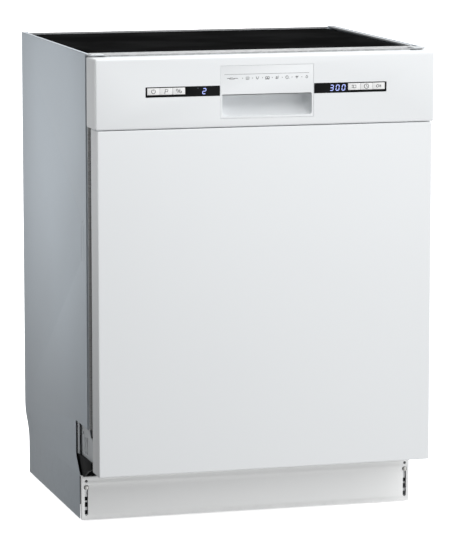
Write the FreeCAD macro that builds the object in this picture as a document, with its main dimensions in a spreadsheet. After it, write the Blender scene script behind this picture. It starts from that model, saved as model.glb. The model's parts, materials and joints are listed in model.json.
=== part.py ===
import FreeCAD, Part
import os
import Sketcher
from FreeCAD import Rotation, Vector

# Built-in dishwasher, 60 cm class, as an assembly of separate pieces.
# Frame: +Z up, the front faces -Y, X = 0 in mid-width, Y = 0 in mid-depth, Z = 0 on the floor.
# Every size in the sheet is in millimetres. Sizes called "..._from_front" run back from the console face.

doc = FreeCAD.newDocument("Dishwasher")
sheet = doc.addObject("Spreadsheet::Sheet", "Sizes")

SIZES = {
    # overall
    "width": 598, "height": 815, "depth": 575,
    # cabinet sheet metal
    "sheet": 1.0, "floor_gap": 1.5, "side_from_front": 70, "side_fold": 12, "top_fold": 6,
    "rear_recess": 35, "rear_recess_top": 114, "rear_recess_knee": 78,
    "opening_back_from_front": 160, "opening_top": 171, "opening_slope": 30,
    "side_hole_from_front": 99, "side_hole_height": 526.5, "side_hole_radius": 1.6,
    "tab_from_front": 97, "tab_low": 458, "tab_high": 519, "tab_width": 20, "tab_slit": 1.5,
    "crossbar_from_front": 46, "crossbar_reach": 52, "crossbar_lip": 15, "crossbar_drop": 1.6,
    "bracket_from_front": 43, "bracket_hole_inset": 13, "bracket_width": 26, "bracket_hole_radius": 2.5,
    "rear_bar_reach": 22, "mat_top": 811, "mat_sheet": 2, "mat_side_gap": 11,
    # plinth
    "plinth_from_front": 118, "plinth_sheet": 1.2, "plinth_height": 78.5, "plinth_fold": 14,
    "keyhole_inset": 8.5, "keyhole_width": 5.7, "keyhole_low": 9.5, "keyhole_high": 59, "keyhole_radius": 4.5,
    "plinth_hole_radius": 2.4, "plinth_hole_height": 70, "plinth_bracket_width": 24,
    "screw_head_radius": 4.1, "screw_shank_radius": 1.9, "screw_head": 2.2, "screw_length": 12,
    # base tray and feet
    "base_low": 22, "base_gap": 2, "base_floor": 4, "base_wall": 4, "base_wall_top": 60, "base_side_gap": 2.5,
    "base_block_from_front": 120, "base_block_width": 46, "base_block_top": 105,
    "bearer_half": 257, "base_rear_top": 100,
    "foot_pad_radius": 15, "foot_pad": 7, "foot_stud_radius": 5, "foot_boss_radius": 12, "foot_fit": 0.06,
    "foot_top": 62, "foot_inset": 32, "foot_front_from_front": 146, "foot_rear_inset": 70,
    # tub
    "tub_half": 270, "tub_wall": 1.5, "tub_floor": 128, "tub_top": 790, "tub_from_front": 62,
    "tub_rear_gap": 30, "flange": 4, "flange_half": 297, "flange_top": 809, "flange_low": 114,
    "flange_low_half": 276, "seal_clearance": 0.6, "seal_width": 6, "seal": 4.4, "low_seal_half": 262,
    "strike_half": 2, "strike_low": 796.5, "strike_high": 799.5, "strike_reach": 15,
    # hinges
    "pivot_from_front": 66, "pivot_height": 110, "pin_radius": 4, "pin_fit": 0.05, "pin_length": 8,
    "ear_radius": 11, "hinge_plate": 2, "hinge_plate_half": 288, "arm_plate": 2.5, "arm_gap": 1,
    "arm_top": 300, "hinge_plate_low": 106, "hinge_plate_top": 165,
    "spring_radius": 8, "spring_bore": 5.5, "spring_half": 276, "spring_height": 46,
    "spring_from_front": 190, "spring_length": 170, "link_radius": 1.5,
    # door
    "door_low": 100, "door_panel_depth": 45.5, "door_setback": 1, "door_inset": 3.5, "door_sheet": 1.0,
    "door_seam": 1, "liner_half": 281, "liner_low": 114, "liner_high": 806.5, "liner_depth": 10,
    # console
    "console_height": 119.5, "console_top_gap": 4, "console_depth": 61, "console_wall": 2.5,
    "console_edge": 4, "fit_gap": 0.3,
    "grip_half": 82, "grip_low": 706, "grip_high": 795, "grip_depth": 40, "grip_inset": 0.3,
    "recess_half": 79, "recess_low": 709.5, "recess_high": 745, "recess_back": 34,
    "window_inner": 83, "window_outer": 212, "window_low": 745, "window_high": 762, "window_plate": 3,
    "key_inner": 143.5, "key_pitch": 22, "key_low": 749, "key_high": 760.5, "key_depth": 12,
    "key_gap": 0.3, "board_from_front": 14.5, "board": 1.6, "board_low": 735, "board_high": 775,
    "latch_half": 25, "latch_low": 786, "latch_high": 805, "latch_slot_half": 5, "latch_slot": 14,
    # dispenser
    "dispenser_left": 92, "dispenser_right": 72, "dispenser_low": 450, "dispenser_high": 640,
    "dispenser_depth": 34, "dispenser_proud": 3, "chamber_left": 84, "chamber_right": 16,
    "chamber_low": 470, "chamber_high": 560, "chamber_depth": 24, "lid_rim": 4, "lid": 2,
    "lid_gap": 0.4, "rinse_x": 36, "rinse_height": 500, "rinse_radius": 20, "rinse_neck_radius": 15,
    "rinse_neck": 9, "rinse_cap": 4, "rinse_fit": 0.06,
    # racks
    "wire": 4, "rack_from_front": 84, "rack_rear_gap": 20, "wire_pitch": 48, "tine_pitch": 30,
    "upper_half": 252, "upper_low": 480, "upper_high": 596, "lower_half": 246, "lower_low": 190,
    "lower_high": 330, "tine_height": 84, "upper_tine_height": 46,
    "rail_low": 500, "rail_height": 20, "rail_width": 5, "rail_gap": 0.6,
    "wheel_radius": 15, "wheel_width": 7, "wheel_gap": 0.5, "axle_radius": 3, "axle_fit": 0.06,
    "wheel_front_inset": 60, "wheel_rear_inset": 330,
    "shelf_width": 92, "shelf_length": 170, "shelf_height": 556, "shelf_inset": 30,
    "basket_left": 140, "basket_right": 232, "basket_front": 90, "basket_length": 236,
    "basket_high": 330, "basket_wall": 2.5, "basket_handle": 30, "basket_lift_gap": 0.6,
    # spray arms, sump and hydraulics
    "well_x": 70, "well_from_front": 300, "well_radius": 70, "sump_radius": 68, "sump_wall": 3, "sump_low": 66,
    "sump_rim": 84, "filter_radius": 40, "filter_wall": 2, "filter_plate": 1.5, "filter_fit": 0.5,
    "filter_margin": 10, "filter_grip": 5,
    "arm_length": 190, "arm_width": 44, "spray_arm": 10, "spray_hub_radius": 18, "spray_pin_radius": 8,
    "spray_fit": 0.1, "lower_arm_height": 160, "upper_arm_height": 452, "spray_x": 30,
    "sprinkler_radius": 36, "sprinkler": 12,
    "salt_x": 170, "salt_from_front": 430, "salt_radius": 32, "salt_neck_radius": 26, "salt_cap": 9,
    "float_x": 190, "float_from_front": 130, "float_radius": 17, "float_high": 26,
    "pump_from_front": 430, "pump_height": 74, "pump_radius": 42, "pump_length": 120, "volute_radius": 46,
    "drain_height": 70, "drain_radius": 24, "drain_length": 78, "drain_x": 80,
    "service_height": 68, "inlet_x": 225, "inlet_radius": 13.2, "inlet_length": 18, "inlet_bore": 8,
    "valve_half": 20, "valve_length": 44, "collar": 3,
    "outlet_x": 150, "outlet_radius": 10.5, "outlet_bore": 8, "outlet_length": 18,
    "gland_x": 200, "gland_radius": 7, "gland_bore": 4.5, "gland_length": 8, "service_gap": 1,
}


class Length:
    """A size in millimetres, with the sheet formula that gives it."""

    def __init__(self, value, formula):
        self.value = value
        self.formula = formula

    def combined(self, other, sign, value):
        return Length(value, f"({self.formula} {sign} {other.formula})")

    def __add__(self, other):
        other = length(other)
        return self.combined(other, "+", self.value + other.value)

    def __sub__(self, other):
        other = length(other)
        return self.combined(other, "-", self.value - other.value)

    def __mul__(self, other):
        other = length(other)
        return self.combined(other, "*", self.value * other.value)

    def __truediv__(self, other):
        other = length(other)
        return self.combined(other, "/", self.value / other.value)

    def __radd__(self, other):
        return length(other) + self

    def __rsub__(self, other):
        return length(other) - self

    def __rmul__(self, other):
        return length(other) * self

    def __neg__(self):
        return length(0) - self


def length(size):
    return size if isinstance(size, Length) else Length(float(size), f"({float(size)})")


class Named:
    """Gives each alias of the sheet as a Length: s.width, s.depth."""

    def __getattr__(self, alias):
        return Length(float(SIZES[alias]), f"Sizes.{alias}")


def fill_sheet():
    for row, (alias, value) in enumerate(SIZES.items(), start=1):
        sheet.set(f"A{row}", alias.replace("_", " "))
        sheet.set(f"B{row}", str(value))
        sheet.setAlias(f"B{row}", alias)
    doc.recompute()


s = Named()
nodes = []


def bind(feature, **sizes):
    for name, size in sizes.items():
        feature.setExpression(name.replace("__", "."), length(size).formula)
    return feature


def place(feature, x, y, z, turn=None):
    if turn:
        feature.Placement = FreeCAD.Placement(Vector(), turn)
    return bind(feature, Placement__Base__x=x, Placement__Base__y=y, Placement__Base__z=z)


def block(x, y, z):
    """A box between two x, two y and two z."""
    box = doc.addObject("Part::Box", "Block")
    bind(box, Length=length(x[1]) - x[0], Width=length(y[1]) - y[0], Height=length(z[1]) - z[0])
    return place(box, x[0], y[0], z[0])


TURNS = {"x": Rotation(Vector(0, 1, 0), 90), "y": Rotation(Vector(1, 0, 0), -90), "z": Rotation()}


def rod(axis, start, radius, reach):
    """A cylinder from start along +X, +Y or +Z."""
    cylinder = doc.addObject("Part::Cylinder", "Rod")
    bind(cylinder, Radius=radius, Height=reach)
    return place(cylinder, *start, turn=TURNS[axis])


def cone(start, low_radius, high_radius, reach):
    frustum = doc.addObject("Part::Cone", "Cone")
    bind(frustum, Radius1=low_radius, Radius2=high_radius, Height=reach)
    return place(frustum, *start)


def fuse(*shapes):
    together = doc.addObject("Part::MultiFuse", "Fuse")
    together.Shapes = list(shapes)
    return together


def cut(base, *tools):
    result = doc.addObject("Part::Cut", "Cut")
    result.Base = base
    result.Tool = tools[0] if len(tools) == 1 else fuse(*tools)
    return result


def group(*solids):
    """Alike pieces that stay separate solids of one node."""
    together = doc.addObject("Part::Compound", "Group")
    together.Links = list(solids)
    return together


def prism(plane, start, thickness, outline):
    """A straight-edged outline padded along the plane's own axis, as a body with one sketch.

    The outline is (y, z) on YZ and padded to +X, (x, z) on XZ and padded to +Y, (x, y) on XY and padded to +Z.
    """
    body = doc.addObject("PartDesign::Body", "Body")
    sketch = body.newObject("Sketcher::SketchObject", "Outline")
    role = f"{plane}_Plane"
    sketch.AttachmentSupport = [(next(f for f in body.Origin.OriginFeatures if f.Role == role), "")]
    sketch.MapMode = "FlatFace"
    faces_back = plane == "XZ"
    offset = -length(start) if faces_back else length(start)
    bind(sketch, AttachmentOffset__Base__z=offset)
    points = [(length(a), length(b)) for a, b in outline]
    corners = [Vector(a.value, b.value, 0) for a, b in points]
    for corner, following in zip(corners, corners[1:] + corners[:1]):
        sketch.addGeometry(Part.LineSegment(corner, following), False)
    for line in range(len(points)):
        sketch.addConstraint(Sketcher.Constraint("Coincident", line, 2, (line + 1) % len(points), 1))
    for line, (across, up) in enumerate(points):
        for kind, size in (("DistanceX", across), ("DistanceY", up)):
            number = sketch.addConstraint(Sketcher.Constraint(kind, -1, 1, line, 1, size.value))
            sketch.setExpression(f"Constraints[{number}]", size.formula)
    pad = body.newObject("PartDesign::Pad", "Pad")
    pad.Profile = sketch
    pad.Reversed = faces_back
    bind(pad, Length=thickness)
    return body


def rounded(base, radius, along):
    """Rounds the base's straight edges that run along one axis."""
    doc.recompute()
    direction = {"x": Vector(1, 0, 0), "y": Vector(0, 1, 0), "z": Vector(0, 0, 1)}[along]
    straight = [
        number for number, edge in enumerate(base.Shape.Edges, start=1)
        if edge.Curve.TypeId == "Part::GeomLine" and edge.tangentAt(edge.FirstParameter).cross(direction).Length < 1e-6
    ]
    fillet = doc.addObject("Part::Fillet", "Fillet")
    fillet.Base = base
    fillet.Edges = [(number, radius.value, radius.value) for number in straight]
    return fillet


def node(label, feature):
    feature.Label = label
    nodes.append(feature)
    return feature


def span(side, inner, outer):
    """The x span between two distances from the middle, on one side."""
    return (-length(outer), -length(inner)) if side < 0 else (length(inner), length(outer))


fill_sheet()
SIDES = {"left": -1, "right": 1}
EPS = 1  # how far a cutting tool runs past the face it cuts

half = s.width / 2
front = s.depth / -2
rear = s.depth / 2
inner_half = half - s.sheet
console_top = s.height - s.console_top_gap
console_low = console_top - s.console_height
door_high = console_low - s.door_seam
tub_front = front + s.tub_from_front
tub_back = rear - s.tub_rear_gap
tub_inner = s.tub_half - s.tub_wall
tub_floor_top = s.tub_floor + s.tub_wall
pivot_y = front + s.pivot_from_front
liner_back = tub_front - s.seal - s.seal_clearance
liner_front = liner_back - s.liner_depth
rack_front = front + s.rack_from_front
rack_back = tub_back - s.tub_wall - s.rack_rear_gap
well_y = front + s.well_from_front
base_front = front + s.plinth_from_front + s.plinth_fold + s.base_gap
base_back = rear - s.rear_recess - s.base_gap


# ---------------------------------------------------------------- cabinet

bar_z = s.height - s.sheet - s.fit_gap
bar_low = bar_z - s.crossbar_drop


def side_panel(side):
    """Folded sheet with the recess at the low rear corner and the notch that clears the hinge."""
    skin_x = span(side, inner_half, half)
    low, high = length(s.floor_gap), s.height
    foot_y = front + s.plinth_from_front + s.plinth_sheet + s.service_gap
    notch_back = front + s.opening_back_from_front
    notch_y = front + s.side_from_front
    recess_y = rear - s.rear_recess
    skin = prism("YZ", skin_x[0], s.sheet, [
        (notch_y, high), (rear, high), (rear, s.rear_recess_top), (recess_y, s.rear_recess_knee),
        (recess_y, low), (foot_y, low), (foot_y, s.plinth_height),
        (notch_back - s.opening_slope, s.plinth_height), (notch_back, s.plinth_height + s.opening_slope),
        (notch_back, s.opening_top), (notch_y, s.opening_top),
    ])
    top_x = span(side, half - s.top_fold, half)
    fold_x = span(side, half - s.side_fold, half)
    panel = fuse(
        skin,
        block(top_x, (notch_y, rear), (high - s.sheet, high)),
        block(fold_x, (notch_y, notch_y + s.sheet), (s.opening_top, bar_low - s.fit_gap)),
        block(fold_x, (rear - s.sheet, rear), (s.rear_recess_top, high)),
    )
    through = (skin_x[0] - EPS, skin_x[1] + EPS)
    tab_y = front + s.tab_from_front
    slits = [
        block(through, (y, y + s.tab_slit), (s.tab_low, s.tab_high))
        for y in (tab_y - s.tab_width / 2, tab_y + s.tab_width / 2 - s.tab_slit)
    ]
    hole = rod("x", (through[0], front + s.side_hole_from_front, s.side_hole_height), s.side_hole_radius,
               s.sheet + 2 * EPS)
    return cut(panel, hole, *slits)


def cabinet():
    for name, side in SIDES.items():
        node(f"{name}_side_panel", side_panel(side))
    between = (-(half - s.side_fold) + s.fit_gap, half - s.side_fold - s.fit_gap)
    node("rear_panel", block(between, (rear - s.sheet, rear), (s.rear_recess_top, s.height - 2 * s.sheet)))

    bar_x = (-inner_half + s.fit_gap, inner_half - s.fit_gap)
    bar_y = front + s.crossbar_from_front
    bar_back = bar_y + s.crossbar_reach
    bracket_y = front + s.bracket_from_front
    screw_holes = [
        rod("z", (side * (inner_half - s.bracket_width / 2), bracket_y + s.bracket_hole_inset, bar_low - EPS),
            s.bracket_hole_radius, s.height - bar_low + EPS * 2)
        for side in SIDES.values()
    ]
    node("top_front_crossbar", cut(fuse(
        block(bar_x, (bar_y, bar_back), (bar_low, bar_z)),
        block(bar_x, (bar_back - s.crossbar_drop, bar_back), (bar_z - s.crossbar_lip, bar_z)),
    ), *screw_holes))
    rear_bar_y = rear - s.sheet - s.fit_gap
    rear_bar_front = rear_bar_y - s.rear_bar_reach
    mat_low = s.mat_top - s.mat_sheet
    rear_bar_z = mat_low - s.fit_gap
    node("top_rear_crossbar", fuse(
        block(bar_x, (rear_bar_front, rear_bar_y), (rear_bar_z - s.sheet, rear_bar_z)),
        block(bar_x, (rear_bar_front, rear_bar_front + s.sheet), (rear_bar_z - s.crossbar_lip, rear_bar_z)),
    ))

    # the mat is a moulded cover that stands on the tub, and its rear edge lies over the rear crossbar
    mat_x = half - s.mat_side_gap
    mat_y = bar_back + s.service_gap
    node("top_mat", cut(
        block((-mat_x, mat_x), (mat_y, rear_bar_y), (s.tub_top, s.mat_top)),
        block((-mat_x + s.mat_sheet, mat_x - s.mat_sheet), (mat_y + s.mat_sheet, rear_bar_y + EPS),
              (s.tub_top - EPS, mat_low)),
        block((-half, half), (rear_bar_front - s.service_gap, rear_bar_y + EPS), (s.tub_top - EPS, mat_low)),
    ))
    brackets = [
        cut(block(span(side, inner_half - s.bracket_width, inner_half),
                  (bracket_y, front + s.side_from_front - s.fit_gap), (bar_z, s.height)), hole)
        for side, hole in zip(SIDES.values(), screw_holes)
    ]
    node("worktop_brackets", group(*brackets))


def plinth():
    y = front + s.plinth_from_front
    x = (-half, half)
    sheet_y = (y, y + s.plinth_sheet)
    board = fuse(
        block(x, sheet_y, (s.floor_gap, s.plinth_height)),
        block((-inner_half + s.fit_gap, inner_half - s.fit_gap), (y, y + s.plinth_fold),
              (s.plinth_height - s.plinth_sheet, s.plinth_height)),
    )
    slots, screws, brackets = [], [], []
    for side in SIDES.values():
        slot_x = side * (half - s.keyhole_inset)
        slots.append(block((slot_x - s.keyhole_width / 2, slot_x + s.keyhole_width / 2),
                           (y - EPS, y + s.plinth_sheet + EPS), (s.keyhole_low, s.keyhole_high)))
        slots.append(rod("y", (slot_x, y - EPS, s.keyhole_high), s.keyhole_radius, s.plinth_sheet + 2 * EPS))
        screw_z = s.keyhole_high
        shank_y = y + s.plinth_sheet / 2
        screws.append(fuse(
            rod("y", (slot_x, y - s.screw_head / 2, screw_z), s.screw_head_radius, s.screw_head),
            rod("y", (slot_x, shank_y, screw_z), s.screw_shank_radius, s.screw_length),
        ))
        bracket_x = span(side, half - s.plinth_bracket_width, inner_half - s.fit_gap)
        plate_y = y + s.plinth_sheet + s.screw_head
        plate = block(bracket_x, (plate_y, plate_y + s.sheet * 2), (s.keyhole_low, s.plinth_hole_height))
        bore = rod("y", (slot_x, plate_y - EPS, screw_z), s.screw_shank_radius + s.fit_gap,
                   s.sheet * 2 + 2 * EPS)
        brackets.append(cut(plate, bore))
    holes = [
        rod("y", (side * (half - s.keyhole_inset), y - EPS, s.plinth_hole_height), s.plinth_hole_radius,
            s.plinth_sheet + 2 * EPS)
        for side in SIDES.values()
    ]
    node("plinth", cut(board, *slots, *holes))
    node("plinth_brackets", group(*brackets))
    node("plinth_screws", group(*screws))


def foot_places():
    x = half - s.foot_inset
    return {
        "foot_front_left": (-x, front + s.foot_front_from_front),
        "foot_front_right": (x, front + s.foot_front_from_front),
        "foot_rear_left": (-x, rear - s.foot_rear_inset),
        "foot_rear_right": (x, rear - s.foot_rear_inset),
    }


def base():
    """Open plastic tray with bosses for the feet, bearers for the tub and blocks under the hinges."""
    x = inner_half - s.base_side_gap
    floor_top = s.base_low + s.base_floor
    outer = block((-x, x), (base_front, base_back), (s.base_low, s.base_wall_top))
    hollow = block((-x + s.base_wall, x - s.base_wall), (base_front + s.base_wall, base_back - s.base_wall),
                   (floor_top, s.base_wall_top + EPS))
    bearers = [
        block(span(side, s.bearer_half, s.bearer_half + s.base_wall),
              (base_front + s.base_block_width, base_back), (floor_top, s.tub_floor))
        for side in SIDES.values()
    ]
    blocks = []
    for side in SIDES.values():
        corner_x = span(side, x - s.base_block_width, x)
        back = front + s.opening_back_from_front
        blocks.append(block(corner_x, (base_front, back), (s.base_wall_top - s.base_wall, s.base_block_top)))
        blocks.append(block(corner_x, (front + s.base_block_from_front, base_front),
                            (s.plinth_height + s.fit_gap, s.base_block_top)))
    rear_wall = block((-x, x), (base_back - s.base_wall, base_back), (floor_top, s.base_rear_top))
    bosses = [
        rod("z", (foot_x, foot_y, s.base_low), s.foot_boss_radius, s.base_wall_top - s.base_low)
        for foot_x, foot_y in foot_places().values()
    ]
    bores = [
        rod("z", (foot_x, foot_y, s.base_low - EPS), s.foot_stud_radius + s.foot_fit,
            s.foot_top - s.base_low + s.service_gap + EPS)
        for foot_x, foot_y in foot_places().values()
    ]
    services = [
        rod("y", (place_x, base_back - s.base_wall - EPS, s.service_height), radius + s.collar + s.service_gap,
            s.base_wall + 2 * EPS)
        for place_x, radius in (
            (-s.inlet_x, s.inlet_radius), (-s.outlet_x, s.outlet_radius), (s.gland_x, s.gland_radius))
    ]
    tray = fuse(cut(outer, hollow), *bearers, *blocks, rear_wall, *bosses)
    node("base_tray", cut(tray, *bores, *services))
    for name, (foot_x, foot_y) in foot_places().items():
        node(name, fuse(
            rod("z", (foot_x, foot_y, 0), s.foot_pad_radius, s.foot_pad),
            rod("z", (foot_x, foot_y, 0), s.foot_stud_radius, s.foot_top),
        ))


def tub():
    """Stainless box, open at the front, with a rolled flange around the mouth and a well in its floor."""
    y = (tub_front, tub_back)
    outer = block((-s.tub_half, s.tub_half), y, (s.tub_floor, s.tub_top))
    hollow_x = (-tub_inner, tub_inner)
    hollow = block(hollow_x, (tub_front - EPS, tub_back - s.tub_wall), (tub_floor_top, s.tub_top - s.tub_wall))
    flange_y = (tub_front, tub_front + s.flange)
    upper = block((-s.flange_half, s.flange_half), flange_y, (s.opening_top, s.flange_top))
    lower = block((-s.flange_low_half, s.flange_low_half), flange_y, (s.flange_low, s.opening_top))
    well = rod("z", (-s.well_x, well_y, s.tub_floor - EPS), s.well_radius, s.tub_wall + 2 * EPS)
    salt_y = front + s.salt_from_front
    salt = rod("z", (s.salt_x, salt_y, s.tub_floor - EPS), s.salt_neck_radius + s.fit_gap, s.tub_wall + 2 * EPS)
    node("tub", cut(fuse(outer, upper, lower), hollow, well, salt))

    seal_y = (tub_front - s.seal, tub_front)
    seal_out = tub_inner + s.seal_width + s.service_gap
    seal_in = tub_inner + s.service_gap
    seal_top = s.tub_top - s.tub_wall + s.service_gap
    node("door_gasket", fuse(
        block((-seal_out, -seal_in), seal_y, (tub_floor_top, seal_top + s.seal_width)),
        block((seal_in, seal_out), seal_y, (tub_floor_top, seal_top + s.seal_width)),
        block((-seal_out, seal_out), seal_y, (seal_top, seal_top + s.seal_width)),
    ))
    node("lower_door_seal", block((-s.low_seal_half, s.low_seal_half), seal_y,
                                  (s.liner_low + s.service_gap, s.tub_floor - s.service_gap)))
    node("latch_strike", block((-s.strike_half, s.strike_half), (tub_front - s.strike_reach, tub_front),
                               (s.strike_low, s.strike_high)))


def hinges():
    """Plates with a pin on each side of the cabinet, arms on the door, and the springs that balance it."""
    plates, arms, springs = [], [], []
    back = front + s.opening_back_from_front
    block_y = front + s.base_block_from_front
    for side in SIDES.values():
        plate_x = span(side, s.hinge_plate_half, s.hinge_plate_half + s.hinge_plate)
        ear = rod("x", (plate_x[0], pivot_y, s.pivot_height), s.ear_radius, s.hinge_plate)
        web = prism("YZ", plate_x[0], s.hinge_plate, [
            (pivot_y, s.pivot_height - s.ear_radius), (block_y - s.service_gap, s.hinge_plate_low),
            (back, s.hinge_plate_low), (back, s.hinge_plate_top),
            (pivot_y + 2 * s.ear_radius, s.hinge_plate_top), (pivot_y, s.pivot_height + s.ear_radius),
        ])
        pin_x = span(side, s.hinge_plate_half - s.pin_length, s.hinge_plate_half)
        pin = rod("x", (pin_x[0], pivot_y, s.pivot_height), s.pin_radius, s.pin_length)
        plates.append(fuse(ear, web, pin))

        arm_out = s.hinge_plate_half - s.arm_gap
        arm_x = span(side, arm_out - s.arm_plate, arm_out)
        arm_ear = rod("x", (arm_x[0], pivot_y, s.pivot_height), s.ear_radius, s.arm_plate)
        arm = prism("YZ", arm_x[0], s.arm_plate, [
            (liner_front + s.service_gap, s.pivot_height - s.ear_radius),
            (pivot_y, s.pivot_height - s.ear_radius), (pivot_y, s.pivot_height + s.ear_radius),
            (liner_back, s.pivot_height + 2 * s.ear_radius), (liner_back, s.arm_top),
            (liner_front + s.service_gap, s.arm_top),
        ])
        eye = rod("x", (arm_x[0] - EPS, pivot_y, s.pivot_height), s.pin_radius + s.pin_fit,
                  s.arm_plate + 2 * EPS)
        arms.append(cut(fuse(arm_ear, arm), eye))

        spring_x = side * s.spring_half
        spring_y = front + s.spring_from_front
        coil = cut(
            rod("y", (spring_x, spring_y, s.spring_height), s.spring_radius, s.spring_length),
            rod("y", (spring_x, spring_y + s.link_radius * 2, s.spring_height), s.spring_bore, s.spring_length),
        )
        link = rod("y", (spring_x, back + s.service_gap, s.spring_height), s.link_radius,
                   s.spring_from_front - s.opening_back_from_front)
        springs.append(fuse(coil, link))
    node("hinge_brackets", group(*plates))
    node("hinge_arms", group(*arms))
    node("balance_springs", group(*springs))


# ---------------------------------------------------------------- water

def spray_arm(x, y, low):
    """A flat arm with round ends and a hub, on a pin along Z."""
    reach = s.arm_length - s.arm_width / 2
    ends = [rod("z", (x + side * reach, y, low), s.arm_width / 2, s.spray_arm) for side in SIDES.values()]
    blade = block((x - reach, x + reach), (y - s.arm_width / 2, y + s.arm_width / 2), (low, low + s.spray_arm))
    hub = rod("z", (x, y, low - s.spray_arm), s.spray_hub_radius, 2 * s.spray_arm)
    return fuse(blade, hub, *ends)


def hydraulics():
    sump_top = s.tub_floor - s.fit_gap
    well_x = -s.well_x
    node("sump", cut(
        fuse(
            rod("z", (well_x, well_y, s.sump_low), s.sump_radius, sump_top - s.sump_low),
            rod("z", (well_x, well_y, sump_top - s.sump_wall), s.sump_rim, s.sump_wall),
        ),
        rod("z", (well_x, well_y, s.sump_low + s.sump_wall), s.sump_radius - s.sump_wall, sump_top - s.sump_low),
    ))

    plate_x = (well_x - s.well_radius - s.filter_margin, s.spray_x + s.spray_hub_radius + s.filter_margin)
    plate_y = (well_y - s.well_radius - s.filter_margin, well_y + s.well_radius + s.filter_margin)
    plate_z = (tub_floor_top, tub_floor_top + s.filter_plate)
    post = rod("z", (s.spray_x, well_y, plate_z[0]), s.spray_pin_radius, s.lower_arm_height - plate_z[0])
    mouth = rod("z", (well_x, well_y, plate_z[0] - EPS), s.filter_radius + s.filter_fit, s.filter_plate + 2 * EPS)
    node("filter_plate", cut(fuse(block(plate_x, plate_y, plate_z), post), mouth))
    cup_low = s.sump_low + s.sump_wall + s.service_gap
    cup_high = plate_z[1] + s.service_gap
    cup = cut(
        rod("z", (well_x, well_y, cup_low), s.filter_radius, cup_high - cup_low),
        rod("z", (well_x, well_y, cup_low + s.filter_wall), s.filter_radius - s.filter_wall, cup_high - cup_low),
    )
    grip = block((well_x - s.filter_radius + s.filter_wall / 2, well_x + s.filter_radius - s.filter_wall / 2),
                 (well_y - s.filter_grip / 2, well_y + s.filter_grip / 2), (cup_high - s.spray_arm, cup_high))
    node("filter_cup", fuse(cup, grip))

    arm_bore = rod("z", (s.spray_x, well_y, s.lower_arm_height - s.spray_arm - EPS),
                   s.spray_pin_radius + s.spray_fit, s.spray_arm + EPS * 2)
    node("lower_spray_arm", cut(spray_arm(s.spray_x, well_y, s.lower_arm_height), arm_bore))
    node("ceiling_sprinkler", rod("z", (0, well_y, s.tub_top - s.tub_wall - s.sprinkler), s.sprinkler_radius,
                                  s.sprinkler))

    salt_y = front + s.salt_from_front
    cap_low = tub_floor_top + s.fit_gap
    node("salt_cap", fuse(
        rod("z", (s.salt_x, salt_y, s.tub_floor - s.salt_cap), s.salt_neck_radius, 2 * s.salt_cap),
        rod("z", (s.salt_x, salt_y, cap_low), s.salt_radius, s.salt_cap),
    ))
    float_y = front + s.float_from_front
    node("float_dome", fuse(
        rod("z", (s.float_x, float_y, cap_low), s.float_radius, s.float_high - s.float_radius / 2),
        cone((s.float_x, float_y, cap_low + s.float_high - s.float_radius / 2), s.float_radius,
             s.float_radius / 2, s.float_radius / 2),
    ))

    pump_y = front + s.pump_from_front
    node("wash_pump", fuse(
        rod("x", (-s.pump_length, pump_y, s.pump_height), s.pump_radius, s.pump_length),
        rod("x", (0, pump_y, s.pump_height), s.volute_radius, s.pump_length / 4),
    ))
    node("drain_pump", rod("x", (s.drain_x, well_y, s.drain_height), s.drain_radius, s.drain_length))

    spigot_y = base_back - s.base_wall * 2
    collar_reach = s.base_wall * 2 + s.service_gap

    def spigot(x, radius, bore, reach):
        """A hose connection: a collar in the tray's rear wall and a hollow pipe out of it."""
        collar = rod("y", (x, spigot_y, s.service_height), radius + s.collar, collar_reach)
        pipe = rod("y", (x, spigot_y, s.service_height), radius, collar_reach + reach)
        hollow = rod("y", (x, spigot_y + s.base_wall, s.service_height), bore, collar_reach + reach)
        return cut(fuse(collar, pipe), hollow)

    valve = block((-s.inlet_x - s.valve_half, -s.inlet_x + s.valve_half), (spigot_y - s.valve_length, spigot_y),
                  (s.service_height - s.valve_half, s.service_height + s.valve_half))
    node("inlet_valve", fuse(valve, spigot(-s.inlet_x, s.inlet_radius, s.inlet_bore, s.inlet_length)))
    node("drain_outlet", spigot(-s.outlet_x, s.outlet_radius, s.outlet_bore, s.outlet_length))
    gland_reach = collar_reach + s.gland_length
    gland = rod("y", (s.gland_x, spigot_y, s.service_height), s.gland_radius + s.collar, gland_reach)
    node("cord_gland", cut(gland, rod("y", (s.gland_x, spigot_y - EPS, s.service_height), s.gland_bore,
                                      gland_reach + 2 * EPS)))


# ---------------------------------------------------------------- door

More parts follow.
